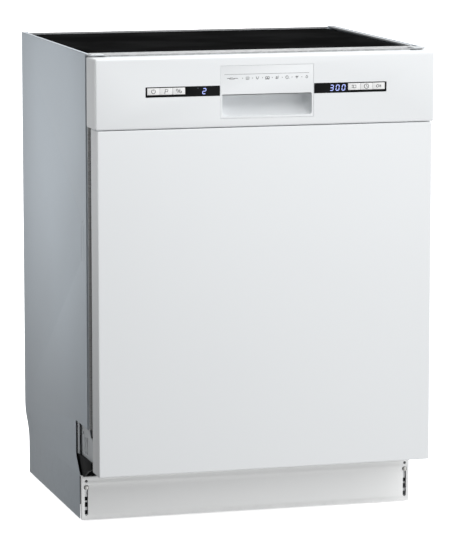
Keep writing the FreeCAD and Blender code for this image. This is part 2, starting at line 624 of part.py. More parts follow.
def door():
    panel_x = half - s.door_inset
    panel_y = (front + s.door_setback, front + s.door_setback + s.door_panel_depth)
    panel = block((-panel_x, panel_x), panel_y, (s.door_low, door_high))
    inside_x = panel_x - s.door_sheet
    inside = block((-inside_x, inside_x), (panel_y[0] + s.door_sheet, panel_y[1] + EPS),
                   (s.door_low + s.door_sheet, door_high - s.door_sheet))
    node("door_panel", cut(panel, inside))

    liner = block((-s.liner_half, s.liner_half), (liner_front, liner_back), (s.liner_low, s.liner_high))
    liner_in = s.liner_half - s.door_sheet
    liner_hollow = block((-liner_in, liner_in), (liner_front - EPS, liner_back - s.door_sheet),
                         (s.liner_low + s.door_sheet, s.liner_high - s.door_sheet))
    body_x = (-s.dispenser_left, s.dispenser_right)
    body_z = (s.dispenser_low, s.dispenser_high)
    gap = s.fit_gap
    window = block((body_x[0] - gap, body_x[1] + gap), (liner_front - EPS, liner_back + EPS),
                   (body_z[0] - gap, body_z[1] + gap))
    slot_half = s.latch_slot_half + s.strike_half
    strike_slot = block((-slot_half, slot_half), (liner_front, liner_back + EPS),
                        (s.latch_low + s.latch_slot_half, s.latch_high - s.strike_half))
    node("door_liner", cut(liner, liner_hollow, window, strike_slot))
    latch = block((-s.latch_half, s.latch_half), (front + s.grip_depth + s.service_gap,
                  liner_back - s.door_sheet - s.fit_gap), (s.latch_low, s.latch_high))
    slot_z = (s.strike_low - s.latch_slot_half, s.strike_high + s.latch_slot_half - EPS)
    slot = block((-s.latch_slot_half, s.latch_slot_half),
                 (liner_back - s.latch_slot, liner_back + EPS), slot_z)
    node("door_latch", cut(latch, slot))

    body_back = liner_back + s.dispenser_proud
    housing = block(body_x, (body_back - s.dispenser_depth + s.dispenser_proud, body_back), body_z)
    chamber = block((-s.chamber_left, -s.chamber_right), (body_back - s.chamber_depth, body_back + EPS),
                    (s.chamber_low, s.chamber_high))
    neck_y = body_back - s.rinse_neck
    socket = rod("y", (s.rinse_x, neck_y - s.fit_gap, s.rinse_height), s.rinse_neck_radius + s.rinse_fit,
                 s.rinse_neck + s.fit_gap + EPS)
    node("dispenser_body", cut(housing, chamber, socket))
    lid_y = body_back + s.lid_gap
    node("dispenser_lid", block((-s.chamber_left - s.lid_rim, -s.chamber_right + s.lid_rim), (lid_y, lid_y + s.lid),
                                (s.chamber_low - s.lid_rim, s.chamber_high + s.lid_rim)))
    node("rinse_cap", fuse(
        rod("y", (s.rinse_x, neck_y, s.rinse_height), s.rinse_neck_radius, s.rinse_neck + s.lid_gap + s.rinse_cap),
        rod("y", (s.rinse_x, lid_y, s.rinse_height), s.rinse_radius, s.rinse_cap),
    ))


def console():
    x = (-half, half)
    outer = block(x, (front, front + s.console_depth), (console_low, console_top))
    outer = rounded(outer, s.console_edge, "x")
    wall = s.console_wall
    inside = block((-half + wall, half - wall), (front + wall, front + s.console_depth + EPS),
                   (console_low + wall, console_top - wall))
    liner_way = block((-s.liner_half - s.service_gap, s.liner_half + s.service_gap),
                      (liner_front - s.service_gap, front + s.console_depth + EPS),
                      (console_low - EPS, console_low + wall + EPS))
    arm_gap = s.fit_gap
    grip_hole = block((-s.grip_half - arm_gap, s.grip_half + arm_gap), (front - EPS, front + wall + EPS),
                      (s.grip_low - arm_gap, s.grip_high + arm_gap))
    window_holes = [
        block(span(side, s.window_inner - arm_gap, s.window_outer + arm_gap), (front - EPS, front + wall + EPS),
              (s.window_low - arm_gap, s.window_high + arm_gap))
        for side in SIDES.values()
    ]
    node("console", cut(outer, inside, liner_way, grip_hole, *window_holes))

    grip_y = front + s.grip_inset
    grip = block((-s.grip_half, s.grip_half), (grip_y, front + s.grip_depth), (s.grip_low, s.grip_high))
    lip = (s.recess_high - s.recess_low) / 8
    scoop = prism("YZ", -s.recess_half, s.recess_half * 2, [
        (front - EPS, s.recess_low), (grip_y + s.recess_back / 2, s.recess_low + lip),
        (grip_y + s.recess_back, s.recess_low + lip * 4), (grip_y + s.recess_back, s.recess_high + lip * 2),
        (grip_y + lip, s.recess_high + lip * 2), (grip_y + lip, s.recess_high), (front - EPS, s.recess_high),
    ])
    node("grip_insert", cut(grip, scoop))

    for name, side in SIDES.items():
        plate = block(span(side, s.window_inner, s.window_outer), (grip_y, grip_y + s.window_plate),
                      (s.window_low, s.window_high))
        keys_hole = block(span(side, s.key_inner - s.key_gap, s.key_inner + 3 * s.key_pitch), (front - EPS,
                          grip_y + s.window_plate + EPS), (s.key_low - s.key_gap, s.key_high + s.key_gap))
        node(f"{name}_window", cut(plate, keys_hole))
        for number in range(3):
            inner = s.key_inner + number * s.key_pitch
            node(f"{name}_key_{number + 1}", block(
                span(side, inner, inner + s.key_pitch - s.key_gap), (grip_y, grip_y + s.key_depth),
                (s.key_low, s.key_high)))
    board_y = front + s.board_from_front
    boards = [
        block(span(side, s.window_inner + s.service_gap, s.window_outer), (board_y, board_y + s.board),
              (s.board_low, s.board_high))
        for side in SIDES.values()
    ]
    node("control_boards", group(*boards))


# ---------------------------------------------------------------- racks

def steps(start, stop, pitch):
    """Offsets from start to stop at about one pitch, evenly spaced."""
    count = max(1, round((stop.value - start.value) / pitch.value))
    return [start + (stop - start) * (number / count) for number in range(count + 1)]


def wire_basket(half_width, low, high, tine_high, tine_span):
    """A welded basket: a grid floor, upright side wires under a rim, and rows of tines."""
    wire = s.wire
    x, y = (-half_width, half_width), (rack_front, rack_back)
    parts = []
    for across in steps(-half_width, half_width - wire, s.wire_pitch):
        parts.append(block((across, across + wire), y, (low, low + wire)))
    for along in steps(rack_front, rack_back - wire, s.wire_pitch * 2):
        parts.append(block(x, (along, along + wire), (low - wire, low)))
    for edge in (rack_front, rack_back - wire):
        parts.append(block(x, (edge, edge + wire), (high - wire, high)))
        for across in steps(-half_width, half_width - wire, s.wire_pitch):
            parts.append(block((across, across + wire), (edge, edge + wire), (low, high)))
    for edge in (-half_width, half_width - wire):
        parts.append(block((edge, edge + wire), y, (high - wire, high)))
        for along in steps(rack_front, rack_back - wire, s.wire_pitch):
            parts.append(block((edge, edge + wire), (along, along + wire), (low, high)))
    floor_wires = steps(-half_width, half_width - wire, s.wire_pitch)
    for across in floor_wires:
        if not tine_span[0].value < across.value < tine_span[1].value:
            continue
        for along in steps(rack_front + s.tine_pitch, rack_back - s.tine_pitch, s.tine_pitch):
            parts.append(block((across, across + wire), (along, along + wire), (low, low + tine_high)))
    return fuse(*parts)


def wheel_axis(inset):
    return rack_front + inset, tub_floor_top + s.fit_gap + s.wheel_radius


def racks():
    rail_out = tub_inner - s.fit_gap
    rail_in = rail_out - s.rail_width
    moving_out = rail_in - s.rail_gap
    rails, movers = [], []
    for side in SIDES.values():
        rails.append(block(span(side, rail_in, rail_out), (rack_front, rack_back),
                           (s.rail_low, s.rail_low + s.rail_height)))
        movers.append(block(span(side, s.upper_half + s.rail_gap, moving_out), (rack_front, rack_back),
                            (s.rail_low + s.service_gap, s.rail_low + s.rail_height - s.service_gap)))
    node("fixed_rails", group(*rails))
    node("moving_rails", group(*movers))
    upper_tines = (-s.upper_half / 4, s.upper_half - s.wire_pitch / 2)
    node("upper_basket", wire_basket(s.upper_half, s.upper_low, s.upper_high, s.upper_tine_height, upper_tines))
    arm = spray_arm(0, well_y, s.upper_arm_height)
    node("upper_spray_arm", arm)
    shelf_x = -s.upper_half + s.wire + s.service_gap
    shelf_y = rack_front + s.shelf_inset
    fold_x = shelf_x + s.wire / 2
    leaf = block((fold_x, shelf_x + s.shelf_width), (shelf_y, shelf_y + s.shelf_length),
                 (s.shelf_height, s.shelf_height + s.wire))
    fold_rod = rod("y", (fold_x, shelf_y, s.shelf_height + s.wire / 2), s.wire / 2, s.shelf_length)
    node("cup_shelf", fuse(leaf, fold_rod))

    basket_x = (s.basket_left, s.basket_right)
    basket_y = (rack_front + s.basket_front, rack_front + s.basket_front + s.basket_length)
    basket_low = s.lower_low + s.wire + s.basket_lift_gap
    lower_tines = (-s.lower_half + s.wire_pitch / 2, s.basket_left - s.wire_pitch / 2)
    basket = wire_basket(s.lower_half, s.lower_low, s.lower_high, s.tine_height, lower_tines)
    stubs = []
    wheel_in = s.lower_half + s.wheel_gap
    for inset in (s.wheel_front_inset, s.wheel_rear_inset):
        axis_y, axis_z = wheel_axis(inset)
        for side in SIDES.values():
            stub_x = span(side, s.lower_half - s.wire * 2, wheel_in + s.wheel_width)
            stubs.append(rod("x", (stub_x[0], axis_y, axis_z), s.axle_radius, stub_x[1] - stub_x[0]))
            drop_x = span(side, s.lower_half - s.wire * 2, s.lower_half)
            stubs.append(block(drop_x, (axis_y - s.wire, axis_y + s.wire), (axis_z - s.axle_radius, s.lower_low)))
    node("lower_basket", fuse(basket, *stubs))
    for name, inset in (("front_wheels", s.wheel_front_inset), ("rear_wheels", s.wheel_rear_inset)):
        axis_y, axis_z = wheel_axis(inset)
        wheels = []
        for side in SIDES.values():
            wheel_x = span(side, wheel_in, wheel_in + s.wheel_width)
            wheel = rod("x", (wheel_x[0], axis_y, axis_z), s.wheel_radius, s.wheel_width)
            eye = rod("x", (wheel_x[0] - EPS, axis_y, axis_z), s.axle_radius + s.axle_fit,
                      s.wheel_width + 2 * EPS)
            wheels.append(cut(wheel, eye))
        node(name, group(*wheels))

    wall = s.basket_wall
    box = block(basket_x, basket_y, (basket_low, s.basket_high))
    mid_y = basket_y[0] + s.basket_length / 2
    cells = [
        block((basket_x[0] + wall, basket_x[1] - wall), cell_y, (basket_low + wall, s.basket_high + EPS))
        for cell_y in ((basket_y[0] + wall, mid_y - wall / 2), (mid_y + wall / 2, basket_y[1] - wall))
    ]
    handle_x = (basket_x[0] + basket_x[1]) / 2
    handle = block((handle_x - wall * 6, handle_x + wall * 6), (mid_y - wall / 2, mid_y + wall / 2),
                   (s.basket_high - wall, s.basket_high + s.basket_handle))
    node("cutlery_basket", fuse(cut(box, *cells), handle))


def check_and_write():
    doc.recompute()
    failed = [o.Name for o in doc.Objects if {"Invalid", "Error"} & set(o.State)]
    if failed:
        raise RuntimeError(f"not built: {failed}")
    os.makedirs("parts", exist_ok=True)
    for feature in nodes:
        shape = feature.Shape
        if shape.isNull() or not shape.isValid() or not shape.Solids:
            raise RuntimeError(f"no valid solid: {feature.Label}")
    for feature in nodes:
        feature.Shape.exportStep(f"parts/{feature.Label}.step")
    print(len(nodes), "nodes written")


cabinet()
plinth()
base()
tub()
hinges()
hydraulics()
door()
console()
racks()
check_and_write()
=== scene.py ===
import json
import math

import bmesh
import bpy
from mathutils import Matrix, Vector


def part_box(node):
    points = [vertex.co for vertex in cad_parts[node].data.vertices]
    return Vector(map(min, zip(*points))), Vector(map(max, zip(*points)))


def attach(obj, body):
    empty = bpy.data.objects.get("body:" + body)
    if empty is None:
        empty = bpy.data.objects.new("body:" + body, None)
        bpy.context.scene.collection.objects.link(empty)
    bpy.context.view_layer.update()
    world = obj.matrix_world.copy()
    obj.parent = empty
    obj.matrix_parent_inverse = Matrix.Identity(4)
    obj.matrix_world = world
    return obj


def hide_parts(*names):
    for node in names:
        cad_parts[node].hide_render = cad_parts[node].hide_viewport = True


bl_info = {
    "name": "Built-in Dishwasher",
    "version": (1, 0, 0),
    "blender": (4, 5, 0),
    "location": "3D View > Sidebar > Dishwasher",
    "description": "Builds a 60 cm built-in dishwasher around its packed frame",
    "category": "Add Mesh",
}

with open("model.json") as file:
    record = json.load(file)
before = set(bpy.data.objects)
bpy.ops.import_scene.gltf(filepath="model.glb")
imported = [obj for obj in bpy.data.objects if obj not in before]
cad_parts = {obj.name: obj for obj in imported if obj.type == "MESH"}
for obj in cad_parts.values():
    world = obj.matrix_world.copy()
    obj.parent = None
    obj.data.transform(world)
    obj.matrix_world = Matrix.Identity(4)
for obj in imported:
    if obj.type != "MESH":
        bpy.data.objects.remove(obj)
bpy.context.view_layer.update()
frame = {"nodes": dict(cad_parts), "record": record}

MM = 0.001
AXIS = 0.0001  # a lathe profile starts this far from its axis
BRIGHTEST = 0.92  # no coat reflects more than this
OPENING_TOP = 0.171  # the side sheets' front folds and the tub's wide flange start here
SERVICE_Z = 0.068  # the rear connections are on one level
TUB_HALF = 0.270
SLOT_INSET = 8.5 * MM  # from the plinth's end to the middle of its keyhole slots
TUB_FLOOR = 0.128
RACK_TOP = 0.330  # the lower rack's rim and the cutlery basket's
SIGN_Z = 0.7735  # the row of programme signs
SIDES = {"left": -1, "right": 1}
FEET = ("foot_front_left", "foot_front_right", "foot_rear_left", "foot_rear_right")


# ---------------------------------------------------------------- settings

def size_setting(name, description, default):
    return bpy.props.FloatProperty(name=name, description=description, default=default, min=0.0,
                                   subtype="DISTANCE", unit="LENGTH", precision=5)


def colour_setting(name, description, default):
    return bpy.props.FloatVectorProperty(name=name, description=description, default=default, size=3,
                                         min=0.0, max=1.0, subtype="COLOR")


class FinishSettings(bpy.types.PropertyGroup):
    """Colours of the dishwasher's finishes."""

    white: colour_setting("White", "Powder coat and mouldings of the front", (0.765, 0.785, 0.80))
    cabinet: colour_setting("Cabinet", "Zinc-coated sheet of the sides", (0.535, 0.59, 0.64))
    zinc: colour_setting("Galvanised", "Bare galvanised sheet", (0.50, 0.51, 0.52))
    steel: colour_setting("Stainless", "Tub and inner door", (0.56, 0.56, 0.56))
    black: colour_setting("Black plastic", "Base tray and feet", (0.014, 0.015, 0.016))
    mat: colour_setting("Sound mat", "Bitumen felt on the tub", (0.0092, 0.0094, 0.0096))
    rubber: colour_setting("Seal rubber", "Door seals", (0.035, 0.037, 0.04))
    grey: colour_setting("Grey plastic", "Spray arms, sump and dispenser", (0.27, 0.29, 0.32))
    pale: colour_setting("Pale grey plastic", "Lids, shelf and valve", (0.47, 0.50, 0.53))
    wire: colour_setting("Wire coating", "Nylon coat of the racks", (0.33, 0.36, 0.41))
    key: colour_setting("Keys", "Keys beside the displays", (0.79, 0.795, 0.795))
    print_ink: colour_setting("Print", "Marks printed on the console", (0.07, 0.072, 0.076))
    window: colour_setting("Display window", "Smoked window over the display", (0.004, 0.0045, 0.005))
    digits: colour_setting("Display light", "Lit digits", (0.42, 0.50, 1.0))


class ShapeSettings(bpy.types.PropertyGroup):
    """Sizes that shape the details."""

    panel_edge: size_setting("Panel edge", "Rounding of the door panel's edges", 0.0022)
    console_edge: size_setting("Console edge", "Rounding of the console's edges", 0.0034)
    sheet: size_setting("Sheet", "Gauge of the cabinet sheet", 0.0010)
    grip_corner: size_setting("Grip corner", "Corner rounding of the finger recess", 0.005)
    grip_depth: size_setting("Grip depth", "Depth of the finger recess", 0.034)
    wire_radius: size_setting("Rack wire", "Radius of a rack's thin coated wires", 0.0016)
    frame_radius: size_setting("Rack frame wire", "Radius of a rack's frame wires", 0.0024)
    stroke: size_setting("Printed line", "Half width of a printed line", 0.00056)


# ---------------------------------------------------------------- outlines

def arc_points(centre, radius, start, end, count):
    """Points along an arc, with angles in degrees."""
    return [
        (centre[0] + radius * math.cos(math.radians(start + (end - start) * i / count)),
         centre[1] + radius * math.sin(math.radians(start + (end - start) * i / count)))
        for i in range(count + 1)
    ]


def circle(u, v, radius, count=32):
    return arc_points((u, v), radius, 0, 360, count)[:-1]


def rounded(points, radius, count=6):
    """A closed outline with every corner rounded; radius is one number or one for each corner."""
    radii = radius if hasattr(radius, "__len__") else [radius] * len(points)
    result = []
    for i, point in enumerate(points):
        here = Vector(point)
        before, after = Vector(points[i - 1]) - here, Vector(points[(i + 1) % len(points)]) - here
        reach = min(radii[i], before.length / 2, after.length / 2)
        if reach < 1e-6:
            result.append(tuple(here))
            continue
        start, end = here + before.normalized() * reach, here + after.normalized() * reach
        for step in range(count + 1):
            t = step / count
            result.append(tuple(start * (1 - t) ** 2 + here * 2 * t * (1 - t) + end * t ** 2))
    return result


def rectangle(low, high, radius=0.0, count=6):
    corners = [(low[0], low[1]), (high[0], low[1]), (high[0], high[1]), (low[0], high[1])]
    return rounded(corners, radius, count)


# ---------------------------------------------------------------- mesh makers

def link(name, mesh):
    piece = bpy.data.objects.new(name, mesh)
    bpy.context.scene.collection.objects.link(piece)
    return piece


def from_curve(name, curve):
    """A mesh object from a curve, with the curve removed."""
    holder = link(name, curve)
    bpy.context.view_layer.update()
    mesh = bpy.data.meshes.new_from_object(holder)
    mesh.name = name
    bpy.data.objects.remove(holder)
    bpy.data.curves.remove(curve)
    return link(name, mesh)


def plate(name, axis, low, high, outlines, edge=0.0):
    """A flat plate between low and high along an axis. The first outline is its rim, the others are holes.

    An outline is (y, z) for axis X, (x, z) for axis Y and (x, y) for axis Z.
    """
    curve = bpy.data.curves.new(name, "CURVE")
    curve.dimensions = "2D"
    curve.fill_mode = "BOTH"
    curve.extrude = max((high - low) / 2 - edge, 0.0)
    curve.bevel_depth = edge
    curve.offset = -edge
    curve.bevel_resolution = 2
    for outline in outlines:
        spline = curve.splines.new("POLY")
        spline.points.add(len(outline) - 1)
        for point, (u, v) in zip(spline.points, outline):
            point.co = (u, v, 0, 1)
        spline.use_cyclic_u = True
    piece = from_curve(name, curve)
    middle = (low + high) / 2
    turns = {
        "x": Matrix(((0, 0, 1, middle), (1, 0, 0, 0), (0, 1, 0, 0), (0, 0, 0, 1))),
        "y": Matrix(((1, 0, 0, 0), (0, 0, -1, middle), (0, 1, 0, 0), (0, 0, 0, 1))),
        "z": Matrix.Translation((0, 0, middle)),
    }
    piece.data.transform(turns[axis])
    return weld(piece)


def weld(piece, distance=1e-6):
    mesh = bmesh.new()
    mesh.from_mesh(piece.data)
    bmesh.ops.remove_doubles(mesh, verts=mesh.verts, dist=distance)
    bmesh.ops.recalc_face_normals(mesh, faces=mesh.faces)
    mesh.to_mesh(piece.data)
    mesh.free()
    return piece


def box_mesh(low, high):
    """A box from low to high, to be worked on before it becomes an object."""
    mesh = bmesh.new()
    bmesh.ops.create_cube(mesh, size=1.0)
    for vertex in mesh.verts:
        vertex.co = Vector(low[i] + (vertex.co[i] + 0.5) * (high[i] - low[i]) for i in range(3))
    return mesh


def as_piece(name, mesh):
    """An object from a worked mesh, which is freed."""
    data = bpy.data.meshes.new(name)
    mesh.to_mesh(data)
    mesh.free()
    return link(name, data)


def surface(name, verts, faces):
    data = bpy.data.meshes.new(name)
    data.from_pydata(verts, [], faces)
    return link(name, data)


def thickened(piece, wall, offset, even=False):
    """The piece with a wall's thickness, on the side that the offset gives."""
    thick = piece.modifiers.new("Wall", "SOLIDIFY")
    thick.thickness = wall
    thick.offset = offset
    thick.use_even_offset = even
    return applied(piece)


def solid_box(name, low, high, edge=0.0, segments=3):
    """A box with rounded edges."""
    low, high = Vector(low), Vector(high)
    mesh = box_mesh(low, high)
    if edge:
        limit = min(high[i] - low[i] for i in range(3)) / 2.05
        bmesh.ops.bevel(mesh, geom=mesh.edges, offset=min(edge, limit), segments=segments, profile=0.5,
                        affect="EDGES")
    return as_piece(name, mesh)


def tray(name, low, high, open_side, wall, edge, segments=4):
    """A thin-walled box, open on one side, with the edges away from the opening rounded."""
    mesh = box_mesh(Vector(low), Vector(high))
    axis = "xyz".index(open_side[1])
    away = Vector((0, 0, 0))
    away[axis] = 1 if open_side[0] == "+" else -1
    mesh.normal_update()
    open_faces = [face for face in mesh.faces if face.normal.dot(away) > 0.9]
    rim = {e for face in open_faces for e in face.edges}
    bmesh.ops.delete(mesh, geom=open_faces, context="FACES_ONLY")
    edges = [e for e in mesh.edges if e not in rim]
    bmesh.ops.bevel(mesh, geom=edges, offset=edge, segments=segments, profile=0.5, affect="EDGES")
    return thickened(as_piece(name, mesh), wall, -1, even=True)


def applied(piece):
    """The piece with its modifiers applied."""
    bpy.context.view_layer.update()
    evaluated = piece.evaluated_get(bpy.context.evaluated_depsgraph_get())
    data = bpy.data.meshes.new_from_object(evaluated)
    piece.modifiers.clear()
    old, piece.data = piece.data, data
    data.name = piece.name
    bpy.data.meshes.remove(old)
    return piece


def cut_out(piece, cutters):
    """Cuts each cutter out of the piece and removes the cutters."""
    for cutter in cutters:
        hole = piece.modifiers.new("Hole", "BOOLEAN")
        hole.operation = "DIFFERENCE"
        hole.solver = "EXACT"
        hole.object = cutter
        applied(piece)
        bpy.data.objects.remove(cutter)
    return weld(piece)


def lathe(name, axis, centre, profile, count=40, sweep=360.0):
    """Turns a profile of (radius, height) around an axis through the centre."""
    verts, faces = [], []
    whole = sweep >= 360.0
    steps = count if whole else count + 1
    for step in range(steps):
        angle = math.radians(sweep * step / count)
        for radius, height in profile:
            verts.append((radius * math.cos(angle), radius * math.sin(angle), height))
    rows = len(profile)
    for step in range(count):
        following = (step + 1) % steps
        for row in range(rows - 1):
            faces.append((step * rows + row, following * rows + row, following * rows + row + 1,
                          step * rows + row + 1))
    piece = surface(name, verts, faces)
    turns = {
        "x": Matrix(((0, 0, 1), (1, 0, 0), (0, 1, 0))).to_4x4(),
        "y": Matrix(((0, 1, 0), (0, 0, 1), (1, 0, 0))).to_4x4(),
        "z": Matrix.Identity(4),
    }
    piece.data.transform(Matrix.Translation(centre) @ turns[axis])
    return weld(piece)


def bent(points, radius, count=5, closed=False):
    """A path through the points with its corners rounded."""
    points = [Vector(p) for p in points]
    result = [] if closed else [points[0]]
    last = len(points) if closed else len(points) - 1
    for i in range(0 if closed else 1, last):
        here = points[i]
        before, after = points[i - 1] - here, points[(i + 1) % len(points)] - here
        reach = min(radius, before.length / 2.01, after.length / 2.01)
        start, end = here + before.normalized() * reach, here + after.normalized() * reach
        for step in range(count + 1):
            t = step / count
            result.append(start * (1 - t) ** 2 + here * 2 * t * (1 - t) + end * t ** 2)
    if not closed:
        result.append(points[-1])
    return result


def wires(name, paths, radius, sides=2, closed=False):
    """Round wires along paths, as one mesh."""
    curve = bpy.data.curves.new(name, "CURVE")
    curve.dimensions = "3D"
    curve.bevel_depth = radius
    curve.bevel_resolution = sides
    curve.use_fill_caps = True
    for path in paths:
        spline = curve.splines.new("POLY")
        spline.points.add(len(path) - 1)
        for point, place in zip(spline.points, path):
            point.co = (*place, 1)
        spline.use_cyclic_u = closed
    return from_curve(name, curve)


def merged(name, pieces):
    """One object from several, with each part keeping its own materials."""
    mesh = bmesh.new()
    materials = []
    for piece in pieces:
        offset = []
        for material in piece.data.materials:
            if material not in materials:
                materials.append(material)
            offset.append(materials.index(material))
        before = len(mesh.faces)
        mesh.from_mesh(piece.data)
        mesh.faces.ensure_lookup_table()
        if offset:
            for face in mesh.faces[before:]:
                face.material_index = offset[min(face.material_index, len(offset) - 1)]
    data = bpy.data.meshes.new(name)
    mesh.to_mesh(data)
    mesh.free()
    for material in materials:
        data.materials.append(material)
    for piece in pieces:
        bpy.data.objects.remove(piece)
    return link(name, data)


def dress(piece, material, smooth=32.0):
    """Gives a piece its material and smooth shading up to an angle."""
    piece.data.materials.clear()
    piece.data.materials.append(material)
    return shade(piece, smooth)


def shade(piece, smooth=32.0):
    piece.data.polygons.foreach_set("use_smooth", [True] * len(piece.data.polygons))
    piece.data.set_sharp_from_angle(angle=math.radians(smooth))
    return piece


def place(piece, body, slot, *nodes):
    """Lets a piece ride on a body and stand for CAD nodes."""
    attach(piece, body)
    if nodes:
        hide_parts(*nodes)
    return piece


def slot_of(node):
    """The material slot that the record gives a CAD node."""
    return next(part["material_slot"] for part in frame["record"]["subparts"] if part["node"] == node)


def finished(piece, finish, body, *nodes, slot=None, smooth=32.0):
    """Dresses a piece and lets it stand for CAD nodes. The slot it works out, the first node's or else the
    finish, is not used.
    """
    dress(piece, material(finish), smooth)
    return place(piece, body, slot or (slot_of(nodes[0]) if nodes else finish), *nodes)


def box_of(node):
    return tuple(Vector(corner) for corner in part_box(node))


def mid(node):
    low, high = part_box(node)
    return (low + high) / 2


def mirrored(side, inner, outer):
    """The x span between two distances from the middle, on one side."""
    return sorted((side * inner, side * outer))


def pin_profile(radius, low, high):
    """A lathe profile for a plain cylinder."""
    return [(AXIS, low), (radius, low), (radius, high), (AXIS, high)]


def around(u, v, radius, count, start=0):
    """Evenly spaced points on a circle, from a start angle in degrees."""
    angles = [math.radians(360 / count * i + start) for i in range(count)]
    return [(u + radius * math.cos(a), v + radius * math.sin(a)) for a in angles]


# ---------------------------------------------------------------- shared shader groups

def shader_group(name, inputs, outputs):
    """An empty node group with named inputs (name, kind, default) and outputs (name, kind)."""
    group = bpy.data.node_groups.new(name, "ShaderNodeTree")
    for label, kind, default in inputs:
        socket = group.interface.new_socket(label, in_out="INPUT", socket_type=kind)
        socket.default_value = default
    for label, kind in outputs:
        group.interface.new_socket(label, in_out="OUTPUT", socket_type=kind)
    return group, group.nodes.new("NodeGroupInput"), group.nodes.new("NodeGroupOutput")


def add_node(tree, kind, values=(), **settings):
    """A shader node with its settings and its unlinked input values."""
    made = tree.nodes.new(kind)
    for name, value in settings.items():
        setattr(made, name, value)
    for socket, value in dict(values).items():
        made.inputs[socket].default_value = value
    return made


def feed(tree, socket, value):
    """Links a socket to another one, or sets its number or colour."""
    if isinstance(value, bpy.types.NodeSocket):
        tree.links.new(value, socket)
    elif isinstance(value, (int, float)):
        socket.default_value = value
    else:
        socket.default_value = (*value, 1.0)


def noise(tree, vector, scale, detail=3.0, roughness=0.55):
    made = add_node(tree, "ShaderNodeTexNoise", {"Detail": detail, "Roughness": roughness})
    feed(tree, made.inputs["Vector"], vector)
    feed(tree, made.inputs["Scale"], scale)
    return made.outputs["Fac"]


def ramp(tree, value, low, high, to_low, to_high):
    """Maps a value from one range to another."""
    made = add_node(tree, "ShaderNodeMapRange", {"From Min": low, "From Max": high, "To Min": to_low,
                                                 "To Max": to_high})
    made.interpolation_type = "SMOOTHSTEP"
    tree.links.new(value, made.inputs["Value"])
    return made.outputs["Result"]


def mixed(tree, factor, first, second, blend="MIX"):
    """A colour mix; each of first and second is a socket or a colour."""
    made = add_node(tree, "ShaderNodeMix", data_type="RGBA", blend_type=blend)
    for socket, value in ((made.inputs[0], factor), (made.inputs[6], first), (made.inputs[7], second)):
        feed(tree, socket, value)
    return made.outputs[2]


def combine_values(tree, operation, first, second):
    made = add_node(tree, "ShaderNodeMath", operation=operation)
    for socket, value in ((made.inputs[0], first), (made.inputs[1], second)):
        feed(tree, socket, value)
    return made.outputs[0]


def grain_group():
    """Fine surface grain: a height and an uneven tone, for powder coat, mouldings and felt."""
    group, inputs, outputs = shader_group(
        "Surface grain",
        [("Vector", "NodeSocketVector", (0, 0, 0)), ("Scale", "NodeSocketFloat", 900.0),
         ("Patches", "NodeSocketFloat", 5.0)],
        [("Height", "NodeSocketFloat"), ("Tone", "NodeSocketFloat")])
    fine = noise(group, inputs.outputs["Vector"], inputs.outputs["Scale"], 2.0, 0.6)
    broad = noise(group, inputs.outputs["Vector"], inputs.outputs["Patches"], 4.0, 0.55)
    group.links.new(fine, outputs.inputs["Height"])
    group.links.new(ramp(group, broad, 0.3, 0.7, 0.0, 1.0), outputs.inputs["Tone"])
    return group


def brush_group():
    """Brushed lines along one direction: stretch is the texture's scale on each axis."""
    group, inputs, outputs = shader_group(
        "Brushed lines",
        [("Vector", "NodeSocketVector", (0, 0, 0)), ("Stretch", "NodeSocketVector", (4, 4, 900))],
        [("Height", "NodeSocketFloat"), ("Tone", "NodeSocketFloat")])
    scaled = add_node(group, "ShaderNodeVectorMath", operation="MULTIPLY")
    group.links.new(inputs.outputs["Vector"], scaled.inputs[0])
    group.links.new(inputs.outputs["Stretch"], scaled.inputs[1])
    lines = noise(group, scaled.outputs[0], 1.0, 4.0, 0.7)
    cloud = noise(group, inputs.outputs["Vector"], 3.0, 3.0, 0.5)
    group.links.new(lines, outputs.inputs["Height"])
    tone = combine_values(group, "MULTIPLY", ramp(group, lines, 0.25, 0.75, 0.0, 1.0),
                          ramp(group, cloud, 0.2, 0.8, 0.6, 1.0))
    group.links.new(tone, outputs.inputs["Tone"])
    return group


def spangle_group():
    """The crystal pattern of hot-dip zinc."""
    group, inputs, outputs = shader_group(
        "Zinc spangle",
        [("Vector", "NodeSocketVector", (0, 0, 0)), ("Scale", "NodeSocketFloat", 120.0)],
        [("Height", "NodeSocketFloat"), ("Tone", "NodeSocketFloat")])
    cells = add_node(group, "ShaderNodeTexVoronoi", {"Randomness": 1.0}, feature="F1")
    group.links.new(inputs.outputs["Vector"], cells.inputs["Vector"])
    group.links.new(inputs.outputs["Scale"], cells.inputs["Scale"])
    shade_of_cell = add_node(group, "ShaderNodeSeparateColor")
    group.links.new(cells.outputs["Color"], shade_of_cell.inputs[0])
    group.links.new(cells.outputs["Distance"], outputs.inputs["Height"])
    group.links.new(shade_of_cell.outputs[0], outputs.inputs["Tone"])
    return group


